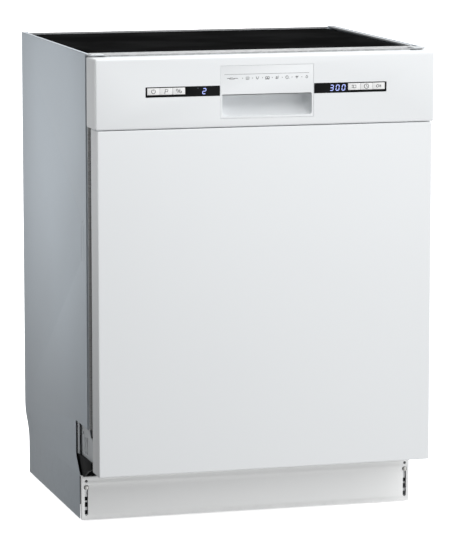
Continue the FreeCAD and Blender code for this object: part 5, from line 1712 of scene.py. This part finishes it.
def make_rails():
    """The fixed channels, the moving bars and the rack's holders on them."""
    low, high = box_of("fixed_rails")
    inner = box_of("moving_rails")[1].x + 1.2 * MM
    channels = []
    for side in SIDES.values():
        a, b, w = side * high.x, side * inner, 1.0 * MM
        turn = side * w
        outline = [(a, low.z), (b, low.z), (b, low.z + 3 * MM), (b + turn, low.z + 3 * MM),
                   (b + turn, low.z + w), (a - turn, low.z + w), (a - turn, high.z - w),
                   (b + turn, high.z - w), (b + turn, high.z - 3 * MM), (b, high.z - 3 * MM), (b, high.z),
                   (a, high.z)]
        channels.append(plate("channel", "y", low.y, high.y, [outline]))
        for y in (low.y, high.y - 5 * MM):
            x0, x1 = sorted((a - side * 0.5 * MM, b))
            channels.append(solid_box("stop", (x0, y, low.z), (x1, y + 5 * MM, high.z), 1.2 * MM))
    finished(merged("rail_channels", channels), "stainless_flat", "cabinet", "fixed_rails")

    low, high = box_of("moving_rails")
    inner = box_of("upper_basket")[1].x + 1 * MM
    bars = []
    for side in SIDES.values():
        x0, x1 = mirrored(side, inner, high.x)
        bars.append(plate("bar", "y", low.y, high.y, [rectangle((x0, low.z), (x1, high.z), 1.2 * MM, 3)]))
    finished(merged("rail_bars", bars), "stainless_flat", "rack_rails", "moving_rails")

    holders = []
    basket_low, basket_high = box_of("upper_basket")
    for side in SIDES.values():
        for y in (basket_low.y + 0.05, basket_high.y - 0.05):
            x0, x1 = mirrored(side, basket_high.x - 7 * MM, basket_high.x + 0.4 * MM)
            holders.append(solid_box("holder", (x0, y - 0.016, low.z - 4 * MM),
                                     (x1, y + 0.016, high.z + 4 * MM), 1.6 * MM))
    holders = merged("rail_holders", holders)
    finished(holders, "grey_plastic", "upper_rack")


def make_cup_shelf():
    """The folding cup shelf on its rod."""
    low, high = box_of("cup_shelf")
    z = (low.z + high.z) / 2
    outline = [(low.x + 1 * MM, low.y)]
    count = 5
    step = (high.y - low.y) / count
    outline.append((high.x - 8 * MM, low.y))
    for i in range(count):
        centre = low.y + step * (i + 0.5)
        outline += [(high.x - 2 * MM, centre - step * 0.32), (high.x, centre),
                    (high.x - 2 * MM, centre + step * 0.32), (high.x - 8 * MM, centre + step * 0.5)]
    outline.append((low.x + 1 * MM, high.y))
    slots = [rectangle((low.x + 0.012, low.y + step * (i + 0.16)),
                       (low.x + 0.044, low.y + step * (i + 0.84)), 4 * MM) for i in range(count)]
    slots += [rectangle((low.x + 0.050, low.y + step * (i + 0.2)),
                        (high.x - 0.013, low.y + step * (i + 0.8)), 4 * MM) for i in range(count)]
    leaf = plate("leaf", "z", z - 1.1 * MM, z + 1.1 * MM, [rounded(outline, 4 * MM, 4), *slots], 0.4 * MM)
    rod = lathe("rod", "y", (low.x + 2 * MM, 0, z), [(AXIS, low.y), (1.7 * MM, low.y),
                                                     (2 * MM, low.y + 1 * MM), (2 * MM, high.y - 1 * MM),
                                                     (1.7 * MM, high.y), (AXIS, high.y)], 20)
    finished(merged("cup_shelf_leaf", [leaf, rod]), "clear_grey_plastic", "cup_shelf", "cup_shelf")


def make_lower_rack(shape):
    """The lower rack's basket with its axle stubs and grip, and the wheels."""
    low, high = box_of("lower_basket")
    wheel = box_of("front_wheels")
    axles = [mid("front_wheels"), mid("rear_wheels")]
    inner, top = 0.246, RACK_TOP
    basket = basket_wires(Vector((-inner, low.y, 0.190)), Vector((inner, high.y, top)), top, 0.084,
                          (-0.222, 0.116), 0.030, shape, 0.008)
    stubs = []
    r = shape.frame_radius
    for axle in axles:
        for side in SIDES.values():
            x = side * (inner - 4 * MM)
            stubs.append(bent([(side * (wheel[1].x - 0.2 * MM), axle.y, axle.z), (x, axle.y, axle.z),
                               (x, axle.y, 0.194), (x - side * 0.03, axle.y, 0.194)], 6 * MM, 4))
    stubs = wires("stubs", stubs, r, 1)
    basket = merged("lower_rack_wires", [basket, stubs])
    finished(basket, "wire_coating", "lower_rack", "lower_basket", smooth=60)
    grip = solid_box("lower_rack_grip", (-0.060, low.y - 1.5 * MM, top - 0.019),
                     (0.060, low.y + 7 * MM, top + 1 * MM), 3 * MM, 3)
    hole = solid_box("hole", (-0.048, low.y - 9 * MM, top - 0.0155),
                     (0.048, low.y + 2 * MM, top - 6.5 * MM), 2 * MM)
    cut_out(grip, [hole])
    finished(grip, "grey_plastic", "lower_rack")

    for name in ("front_wheels", "rear_wheels"):
        low, high = box_of(name)
        axle = (low + high) / 2
        radius, width = (high.z - low.z) / 2, 7 * MM
        wheels = []
        for side in SIDES.values():
            x = side * high.x - (width if side > 0 else 0)
            bore = 3.2 * MM
            profile = [(bore, 0), (5.5 * MM, 0), (6 * MM, 2.2 * MM), (radius - 4 * MM, 2.2 * MM),
                       (radius - 3 * MM, 0.3 * MM), (radius - 0.6 * MM, 0), (radius, 0.8 * MM),
                       (radius, width - 0.8 * MM), (radius - 0.6 * MM, width),
                       (radius - 3 * MM, width - 0.3 * MM), (radius - 4 * MM, width - 2.2 * MM),
                       (6 * MM, width - 2.2 * MM), (5.5 * MM, width), (bore, width), (bore, 0)]
            disc = lathe("disc", "x", (x, axle.y, axle.z), profile, 40)
            ports = [lathe("port", "x", (x, u, v), pin_profile(1.5 * MM, -1 * MM, width + 1 * MM), 12)
                     for u, v in around(axle.y, axle.z, 8.5 * MM, 6)]
            cut_out(disc, [merged("ports", ports)])
            wheels.append(disc)
        finished(merged(name + "_discs", wheels), "wheel_plastic", name, name)


def slotted_wall(name, axis, low, high, u_range, v_range, columns, rows, corner=3 * MM):
    """A thin plastic wall with rows of tall slots."""
    (u0, u1), (v0, v1) = u_range, v_range
    margin, bar = 7 * MM, 3.5 * MM
    holes = []
    wide = (u1 - u0 - 2 * margin - (columns - 1) * bar) / columns
    tall = (v1 - v0 - 2 * margin - (rows - 1) * bar * 2) / rows
    for i in range(columns):
        for j in range(rows):
            u, v = u0 + margin + i * (wide + bar), v0 + margin + j * (tall + bar * 2)
            holes.append(rectangle((u, v), (u + wide, v + tall), min(2 * MM, wide / 2.2), 3))
    return plate(name, axis, low, high, [rectangle((u0, v0), (u1, v1), corner), *holes], 0.3 * MM)


def make_cutlery_basket():
    """The lift-out cutlery basket with slotted walls, a divider and a carrying handle."""
    low, high = box_of("cutlery_basket")
    top, wall = RACK_TOP, 1.6 * MM
    middle_y, middle_x = (low.y + high.y) / 2, (low.x + high.x) / 2
    parts = []
    for x in (low.x, high.x - wall):
        parts.append(slotted_wall("side", "x", x, x + wall, (low.y, high.y), (low.z, top), 22, 3))
    for y in (low.y, middle_y - wall / 2, high.y - wall):
        parts.append(slotted_wall("end", "y", y, y + wall, (low.x, high.x), (low.z, top), 8, 3))
    parts.append(slotted_wall("floor", "z", low.z, low.z + wall, (low.x, high.x), (low.y, high.y), 12, 10))
    for x in (low.x - 0.4 * MM, high.x - wall - 0.4 * MM):
        parts.append(solid_box("rim", (x, low.y, top - 4 * MM), (x + wall + 0.8 * MM, high.y, top),
                               0.9 * MM))
    for y in (low.y - 0.4 * MM, high.y - wall - 0.4 * MM):
        parts.append(solid_box("rim", (low.x, y, top - 4 * MM), (high.x, y + wall + 0.8 * MM, top),
                               0.9 * MM))
    half = 7 * MM
    hoop = [(middle_x - half * 2.6, top - 8 * MM), (middle_x - half, high.z), (middle_x + half, high.z),
            (middle_x + half * 2.6, top - 8 * MM), (middle_x + half * 1.8, top - 8 * MM),
            (middle_x + half * 0.6, high.z - 6 * MM), (middle_x - half * 0.6, high.z - 6 * MM),
            (middle_x - half * 1.8, top - 8 * MM)]
    parts.append(plate("handle", "y", middle_y - 2 * MM, middle_y + 2 * MM, [rounded(hoop, 3 * MM, 4)],
                       0.8 * MM))
    finished(merged("cutlery_basket_walls", parts), "grey_plastic", "cutlery_basket", "cutlery_basket")


# ---------------------------------------------------------------- water system

def make_spray_arm(node):
    """A hollow spray arm: a lens-shaped blade with a raised spine, nozzles and a hub."""
    low, high = box_of(node)
    centre = (low + high) / 2
    reach, wide = (high.x - low.x) / 2, (high.y - low.y) / 2
    hub = 18 * MM
    blade_low, blade_high = high.z - 10 * MM, high.z
    tip = 0.62 * wide
    outline = [(centre.x - reach, centre.y - tip), (centre.x - hub * 1.4, centre.y - wide),
               (centre.x + hub * 1.4, centre.y - wide), (centre.x + reach, centre.y - tip),
               (centre.x + reach, centre.y + tip), (centre.x + hub * 1.4, centre.y + wide),
               (centre.x - hub * 1.4, centre.y + wide), (centre.x - reach, centre.y + tip)]
    radii = [tip, 0.03, 0.03, tip, tip, 0.03, 0.03, tip]
    blade = plate("blade", "z", blade_low + 1.2 * MM, blade_high - 1 * MM, [rounded(outline, radii, 8)],
                  3 * MM)
    spine = [(x * 0.94 + centre.x * 0.06, centre.y + (y - centre.y) * 0.45) for x,
             y in rounded(outline, radii, 6)]
    ridge = plate("spine", "z", blade_high - 2 * MM, blade_high, [spine], 0.9 * MM)
    parts = [blade, ridge]
    for side in SIDES.values():
        for i, part in enumerate((0.24, 0.38, 0.52, 0.66, 0.80, 0.92)):
            x = centre.x + side * reach * part
            y = centre.y + side * (3.4 * MM if i % 2 else -3.4 * MM)
            parts.append(lathe("nozzle", "z", (x, y, blade_high),
                               [(1.1 * MM, -3 * MM), (3.3 * MM, -3 * MM), (2.9 * MM, -0.2 * MM),
                                (2.2 * MM, 0.9 * MM), (1.1 * MM, 0.9 * MM), (1.1 * MM, -3 * MM)], 16))
    bore = 8.2 * MM if low.z < 0.3 else 0.1 * MM
    profile = [(bore, low.z), (hub - 2 * MM, low.z), (hub, low.z + 2 * MM), (hub, blade_low + 3 * MM),
               (hub + 2 * MM, blade_high - 1 * MM), (hub - 2 * MM, blade_high + 0.6 * MM),
               (bore, blade_high + 0.6 * MM), (bore, low.z)]
    turned = lathe("hub", "z", (centre.x, centre.y, 0), profile, 40)
    parts.append(turned)
    finished(merged(node + "_blade", parts), "grey_plastic", node, node, smooth=40)


def make_sump():
    """The sump's bowl with its ribs."""
    low, high = box_of("sump")
    centre, rim, radius, wall = mid("sump"), (high.x - low.x) / 2, 0.068, 2.2 * MM
    profile = [(AXIS, low.z), (radius - 8 * MM, low.z), (radius, low.z + 8 * MM), (radius, high.z - 2 * MM),
               (rim, high.z - 2 * MM), (rim, high.z), (radius - wall, high.z),
               (radius - wall, low.z + 9 * MM), (radius - 9 * MM, low.z + wall), (AXIS, low.z + wall)]
    bowl = lathe("bowl", "z", (centre.x, centre.y, 0), profile, 56)
    ribs = []
    for x, y in around(centre.x, centre.y, radius + 0.5 * MM, 10, 10):
        ribs.append(solid_box("rib", (x - 1 * MM, y - 1 * MM, low.z + 10 * MM),
                              (x + 1 * MM, y + 1 * MM, high.z - 2 * MM), 0.4 * MM))
    finished(merged("sump_bowl", [bowl, *ribs]), "grey_plastic", "cabinet", "sump")


def make_filter_plate():
    """The sieve in the tub's floor, with the cup's collar and the spray arm's post."""
    low, high = box_of("filter_plate")
    plate_top = 0.1312
    cup = mid("filter_cup")
    arm = mid("lower_spray_arm")
    mouth = 0.0408
    holes = [circle(cup.x, cup.y, mouth, 40)]
    pitch = 8.5 * MM
    for i, x in enumerate(spread(low.x + 9 * MM, high.x - 9 * MM, pitch)):
        for y in spread(low.y + 9 * MM, high.y - 9 * MM, pitch):
            y += pitch / 4 if i % 2 else -pitch / 4
            near_cup = math.hypot(x - cup.x, y - cup.y) < mouth + 6 * MM
            if near_cup or math.hypot(x - arm.x, y - arm.y) < 15 * MM:
                continue
            holes.append(circle(x, y, 1.9 * MM, 8))
    sieve = plate("sieve", "z", plate_top - 1.2 * MM, plate_top,
                  [rectangle((low.x, low.y), (high.x, high.y), 0.03), *holes])
    collar = lathe("collar", "z", (cup.x, cup.y, 0), [(mouth, plate_top - 1 * MM),
                                                      (mouth + 4 * MM, plate_top - 1 * MM),
                                                      (mouth + 3.4 * MM, plate_top + 0.7 * MM),
                                                      (mouth + 0.4 * MM, plate_top + 0.7 * MM),
                                                      (mouth, plate_top - 1 * MM)], 44)
    post = lathe("post", "z", (arm.x, arm.y, 0), [(AXIS, plate_top - 1 * MM), (13 * MM, plate_top - 1 * MM),
                                                  (12 * MM, plate_top + 2 * MM),
                                                  (8.2 * MM, plate_top + 5 * MM),
                                                  (7.7 * MM, high.z - 12 * MM), (7.7 * MM, high.z - 1 * MM),
                                                  (6.8 * MM, high.z), (AXIS, high.z)], 36)
    finished(merged("filter_sieve", [sieve, collar, post]), "mesh_steel", "cabinet", "filter_plate")


def make_filter_cup():
    """The cup that lifts out of the sump, with its grip and ribs."""
    cup = mid("filter_cup")
    low, high = box_of("filter_cup")
    radius = (high.x - low.x) / 2
    wall = 1.8 * MM
    profile = [(AXIS, low.z), (radius - 3 * MM, low.z), (radius - 1 * MM, low.z + 2 * MM),
               (radius - 1 * MM, high.z - 6 * MM), (radius, high.z - 5 * MM), (radius, high.z - 0.6 * MM),
               (radius - 0.6 * MM, high.z), (radius - 2 * wall, high.z),
               (radius - 1 * MM - wall, high.z - 6 * MM), (radius - 1 * MM - wall, low.z + 3 * MM),
               (AXIS, low.z + wall)]
    parts = [lathe("cup", "z", (cup.x, cup.y, 0), profile, 48)]
    web = 2.2 * MM
    parts.append(solid_box("grip", (cup.x - radius + wall, cup.y - web, high.z - 9.5 * MM),
                           (cup.x + radius - wall, cup.y + web, high.z - 0.5 * MM), 1 * MM))
    for x, y in around(cup.x, cup.y, radius - 2 * MM, 16):
        parts.append(solid_box("rib", (x - 0.9 * MM, y - 0.9 * MM, low.z + 6 * MM),
                               (x + 0.9 * MM, y + 0.9 * MM, high.z - 6 * MM), 0.3 * MM))
    finished(merged("filter_cup_body", parts), "grey_plastic", "filter_cup", "filter_cup")


def make_salt_cap():
    """The softener's cap, with a grip bar and a ridged rim."""
    low, high = box_of("salt_cap")
    salt, radius = mid("salt_cap"), (high.x - low.x) / 2
    floor = 0.1295
    neck = 0.0235
    profile = [(AXIS, low.z), (neck - 1 * MM, low.z), (neck, low.z + 1 * MM), (neck, floor + 0.4 * MM),
               (radius - 0.6 * MM, floor + 0.4 * MM), (radius, floor + 1.2 * MM),
               (radius - 1 * MM, high.z - 1.6 * MM), (radius - 3.4 * MM, high.z), (AXIS, high.z)]
    cap = lathe("cap", "z", (salt.x, salt.y, 0), profile, 48)
    bars = [solid_box("bar", (salt.x - 4 * MM, salt.y - 0.022, high.z - 2 * MM),
                      (salt.x + 4 * MM, salt.y + 0.022, high.z + 3 * MM), 1.8 * MM)]
    for x, y in around(salt.x, salt.y, radius - 1.2 * MM, 24):
        bars.append(solid_box("ridge", (x - 0.8 * MM, y - 0.8 * MM, floor + 1.4 * MM),
                              (x + 0.8 * MM, y + 0.8 * MM, high.z - 1.6 * MM), 0.3 * MM))
    finished(merged("salt_cap_body", [cap, *bars]), "grey_plastic", "salt_cap", "salt_cap")


def make_float():
    """The float's dome."""
    low, high = box_of("float_dome")
    place_at, radius = mid("float_dome"), (high.x - low.x) / 2
    profile = [(AXIS, low.z), (radius, low.z), (radius, low.z + 1.6 * MM),
               (radius - 1.6 * MM, low.z + 2.2 * MM)]
    tall = high.z - low.z
    profile += [(radius - 1.8 * MM - (radius - 5 * MM) * (1 - math.cos(a)) * 0.9,
                 low.z + tall * 0.62 + tall * 0.38 * math.sin(a))
                for a in [math.radians(15 * i) for i in range(7)]]
    profile += [(AXIS, high.z)]
    finished(lathe("float_cap", "z", (place_at.x, place_at.y, 0), profile, 40), "clear_grey_plastic",
             "float_dome", "float_dome", smooth=50)


def make_sprinkler():
    """The sprinkler under the tub's ceiling."""
    low, high = box_of("ceiling_sprinkler")
    centre, radius = mid("ceiling_sprinkler"), (high.x - low.x) / 2
    profile = [(AXIS, high.z), (radius, high.z), (radius - 0.4 * MM, high.z - 3 * MM),
               (radius * 0.62, high.z - 5 * MM), (radius * 0.55, low.z + 3 * MM),
               (radius * 0.4, low.z + 0.6 * MM), (AXIS, low.z)]
    head = lathe("head", "z", (centre.x, centre.y, 0), profile, 40)
    jets = [lathe("jet", "z", (x, y, 0), [(AXIS, high.z - 3 * MM), (2.4 * MM, high.z - 3 * MM),
                                          (1.8 * MM, high.z - 7 * MM), (AXIS, high.z - 7 * MM)], 12) for x,
            y in around(centre.x, centre.y, 0.024, 6)]
    finished(merged("sprinkler_head", [head, *jets]), "grey_plastic", "cabinet", "ceiling_sprinkler")


def make_pumps():
    """The wash pump with its cooling fins, and the drain pump."""
    low, high = box_of("wash_pump")
    middle, big = mid("wash_pump"), (high.z - low.z) / 2
    motor = big * 0.72
    profile = [(AXIS, low.x), (motor * 0.6, low.x), (motor * 0.62, low.x + 5 * MM), (motor, low.x + 7 * MM),
               (motor, high.x - 0.036), (big - 2 * MM, high.x - 0.030), (big, high.x - 0.026),
               (big, high.x - 5 * MM), (big - 4 * MM, high.x), (AXIS, high.x)]
    body = lathe("motor", "x", (0, middle.y, middle.z), profile, 44)
    fins = [lathe("fin", "x", (low.x + 0.018 + 9 * MM * i, middle.y, middle.z),
                  [(motor - 1 * MM, 0), (motor + 1.6 * MM, 0), (motor + 1.6 * MM, 2 * MM),
                   (motor - 1 * MM, 2 * MM), (motor - 1 * MM, 0)], 40) for i in range(6)]
    finished(merged("wash_pump_body", [body, *fins]), "grey_plastic", "cabinet", "wash_pump")

    low, high = box_of("drain_pump")
    middle, big = mid("drain_pump"), (high.z - low.z) / 2
    profile = [(AXIS, low.x), (big, low.x), (big, low.x + 0.022), (big * 0.8, low.x + 0.026),
               (big * 0.8, high.x - 8 * MM), (big * 0.5, high.x - 6 * MM), (big * 0.5, high.x),
               (AXIS, high.x)]
    finished(lathe("drain_pump_body", "x", (0, middle.y, middle.z), profile, 36), "grey_plastic", "cabinet",
             "drain_pump")


# ---------------------------------------------------------------- stage

def plain_material(name, colour, rough, glow=0.0):
    """The stage's own surface, with a very faint unevenness."""
    surface, tree, shader, at = new_material(name, Emission_Color=(1, 1, 1, 1), Emission_Strength=glow)
    cloud = noise(tree, at, 2.0, 2.0, 0.5)
    tree.links.new(mixed(tree, cloud, colour, tuple(c * 0.99 for c in colour)), shader.inputs["Base Color"])
    tree.links.new(ramp(tree, cloud, 0.0, 1.0, rough, rough + 0.05), shader.inputs["Roughness"])
    return surface


def make_stage():
    """A white floor that runs into a bright background, soft lights, and the camera."""
    floor = plate("floor", "z", -0.002, 0.0, [rectangle((-60, -60), (60, 60), 2.0)])
    floor.data.transform(Matrix.Translation((0, 0, -0.0005)))
    dress(floor, plain_material("Floor", (0.93, 0.93, 0.93), 0.8, 0.70))
    floor.visible_diffuse = False
    floor.visible_glossy = False

    world = bpy.data.worlds.new("Studio")
    world.use_nodes = True
    tree = world.node_tree
    sides = add_node(tree, "ShaderNodeSeparateXYZ")
    tree.links.new(tree.nodes.new("ShaderNodeTexCoord").outputs["Generated"], sides.inputs[0])
    brightness = ramp(tree, sides.outputs["X"], -0.25, 0.40, 0.23, 1.44)
    tree.links.new(brightness, tree.nodes["Background"].inputs["Color"])
    bpy.context.scene.world = world

    sun = bpy.data.lights.new("overhead", "SUN")
    sun.energy = 1.1
    sun.angle = math.radians(50)
    overhead = bpy.data.objects.new("overhead", sun)
    overhead.rotation_euler = (math.radians(16), 0.0, math.radians(30))
    bpy.context.scene.collection.objects.link(overhead)
    area_light("key", (0.0, -1.4, 1.7), (-0.10, -0.29, 0.82), 0.8, 6.2)
    area_light("left", (-0.80, 0.08, 0.64), (-0.3, 0.06, 0.64), 0.5, 1.95)

    lens = bpy.data.cameras.new("View")
    lens.lens = 216.2
    lens.sensor_fit = "VERTICAL"
    lens.sensor_height = 36.0
    lens.clip_end = 60
    camera = bpy.data.objects.new("View", lens)
    camera.location = (-1.562, -5.587, 1.268)
    camera.rotation_euler = (math.radians(81.476), 0.0, math.radians(-15.726))
    bpy.context.scene.collection.objects.link(camera)
    bpy.context.scene.camera = camera
    bpy.context.scene.view_settings.view_transform = "Standard"


def area_light(name, place_at, aim, size, power):
    light = bpy.data.lights.new(name, "AREA")
    light.shape = "DISK"
    light.size = size
    light.energy = power
    lamp = bpy.data.objects.new(name, light)
    lamp.location = place_at
    lamp.rotation_euler = (Vector(aim) - Vector(place_at)).to_track_quat("-Z", "Y").to_euler()
    lamp.visible_camera = False
    bpy.context.scene.collection.objects.link(lamp)
    return lamp


# ---------------------------------------------------------------- carried-over nodes

def finish_cad_nodes():
    """Gives every CAD node that still shows the finish of its slot."""
    for subpart in frame["record"]["subparts"]:
        node = frame["nodes"].get(subpart["node"])
        if node is None:
            continue
        finish = material(subpart["material_slot"])
        node.data.materials.clear()
        node.data.materials.append(finish)


# ---------------------------------------------------------------- operators

class PieceOperator:
    bl_options = {"REGISTER", "UNDO"}

    @property
    def shape(self):
        return bpy.context.scene.dishwasher_shape


class BuildFront(PieceOperator, bpy.types.Operator):
    """Build the console, grip recess, windows, keys and door panel"""

    bl_idname = "dishwasher.front"
    bl_label = "Door front"

    def execute(self, context):
        make_console(self.shape)
        make_grip(self.shape)
        make_windows()
        make_keys()
        make_marks(self.shape)
        make_digits()
        make_door_panel(self.shape)
        return {"FINISHED"}


class BuildCabinet(PieceOperator, bpy.types.Operator):
    """Build the side sheets, rear sheet, top and plinth"""

    bl_idname = "dishwasher.cabinet"
    bl_label = "Cabinet"

    def execute(self, context):
        make_side_panels(self.shape)
        make_rear_panel(self.shape)
        make_top()
        make_plinth()
        make_plinth_fixings()
        return {"FINISHED"}


class BuildBase(PieceOperator, bpy.types.Operator):
    """Build the base moulding, feet, hinges, springs and rear connections"""

    bl_idname = "dishwasher.base"
    bl_label = "Base and hinges"

    def execute(self, context):
        make_base()
        make_feet()
        make_hinges()
        make_services()
        return {"FINISHED"}


class BuildTub(PieceOperator, bpy.types.Operator):
    """Build the tub, its seals and the strike"""

    bl_idname = "dishwasher.tub"
    bl_label = "Tub"

    def execute(self, context):
        make_tub()
        make_seals()
        make_strike()
        return {"FINISHED"}


class BuildInnerDoor(PieceOperator, bpy.types.Operator):
    """Build the inner door sheet, the dispenser, the latch and the boards"""

    bl_idname = "dishwasher.inner_door"
    bl_label = "Inner door"

    def execute(self, context):
        make_liner()
        make_dispenser()
        make_latch_and_boards()
        return {"FINISHED"}


class BuildRacks(PieceOperator, bpy.types.Operator):
    """Build the racks, rails, wheels, cup shelf and cutlery basket"""

    bl_idname = "dishwasher.racks"
    bl_label = "Racks"

    def execute(self, context):
        make_upper_rack(self.shape)
        make_rails()
        make_cup_shelf()
        make_lower_rack(self.shape)
        make_cutlery_basket()
        return {"FINISHED"}


class BuildWaterSystem(PieceOperator, bpy.types.Operator):
    """Build the spray arms, filters, sump and pumps"""

    bl_idname = "dishwasher.water_system"
    bl_label = "Water system"

    def execute(self, context):
        make_spray_arm("lower_spray_arm")
        make_spray_arm("upper_spray_arm")
        for make in (make_sump, make_filter_plate, make_filter_cup, make_salt_cap, make_float,
                     make_sprinkler, make_pumps):
            make()
        return {"FINISHED"}


class FinishFrame(PieceOperator, bpy.types.Operator):
    """Give the remaining frame pieces their finishes"""

    bl_idname = "dishwasher.finish_frame"
    bl_label = "Frame finishes"

    def execute(self, context):
        finish_cad_nodes()
        return {"FINISHED"}


class BuildStage(PieceOperator, bpy.types.Operator):
    """Set up the floor, the lights and the camera"""

    bl_idname = "dishwasher.stage"
    bl_label = "Stage"

    def execute(self, context):
        make_stage()
        return {"FINISHED"}


STEPS = (BuildFront, BuildCabinet, BuildBase, BuildTub, BuildInnerDoor, BuildRacks, BuildWaterSystem,
         FinishFrame, BuildStage)


class DishwasherPanel(bpy.types.Panel):
    """Lists the steps that build the dishwasher."""

    bl_idname = "VIEW3D_PT_dishwasher"
    bl_label = "Built-in Dishwasher"
    bl_space_type = "VIEW_3D"
    bl_region_type = "UI"
    bl_category = "Dishwasher"

    def draw(self, context):
        for step in STEPS:
            self.layout.operator(step.bl_idname)
        for settings in (context.scene.dishwasher_finish, context.scene.dishwasher_shape):
            column = self.layout.column()
            for name in settings.__annotations__:
                column.prop(settings, name)


CLASSES = (FinishSettings, ShapeSettings, *STEPS, DishwasherPanel)


def register():
    for each in CLASSES:
        bpy.utils.register_class(each)
    bpy.types.Scene.dishwasher_finish = bpy.props.PointerProperty(type=FinishSettings)
    bpy.types.Scene.dishwasher_shape = bpy.props.PointerProperty(type=ShapeSettings)


def unregister():
    del bpy.types.Scene.dishwasher_shape
    del bpy.types.Scene.dishwasher_finish
    for each in reversed(CLASSES):
        bpy.utils.unregister_class(each)


def main():
    register()
    for step in STEPS:
        group, name = step.bl_idname.split(".")
        getattr(getattr(bpy.ops, group), name)()


if __name__ == "__main__":
    main()
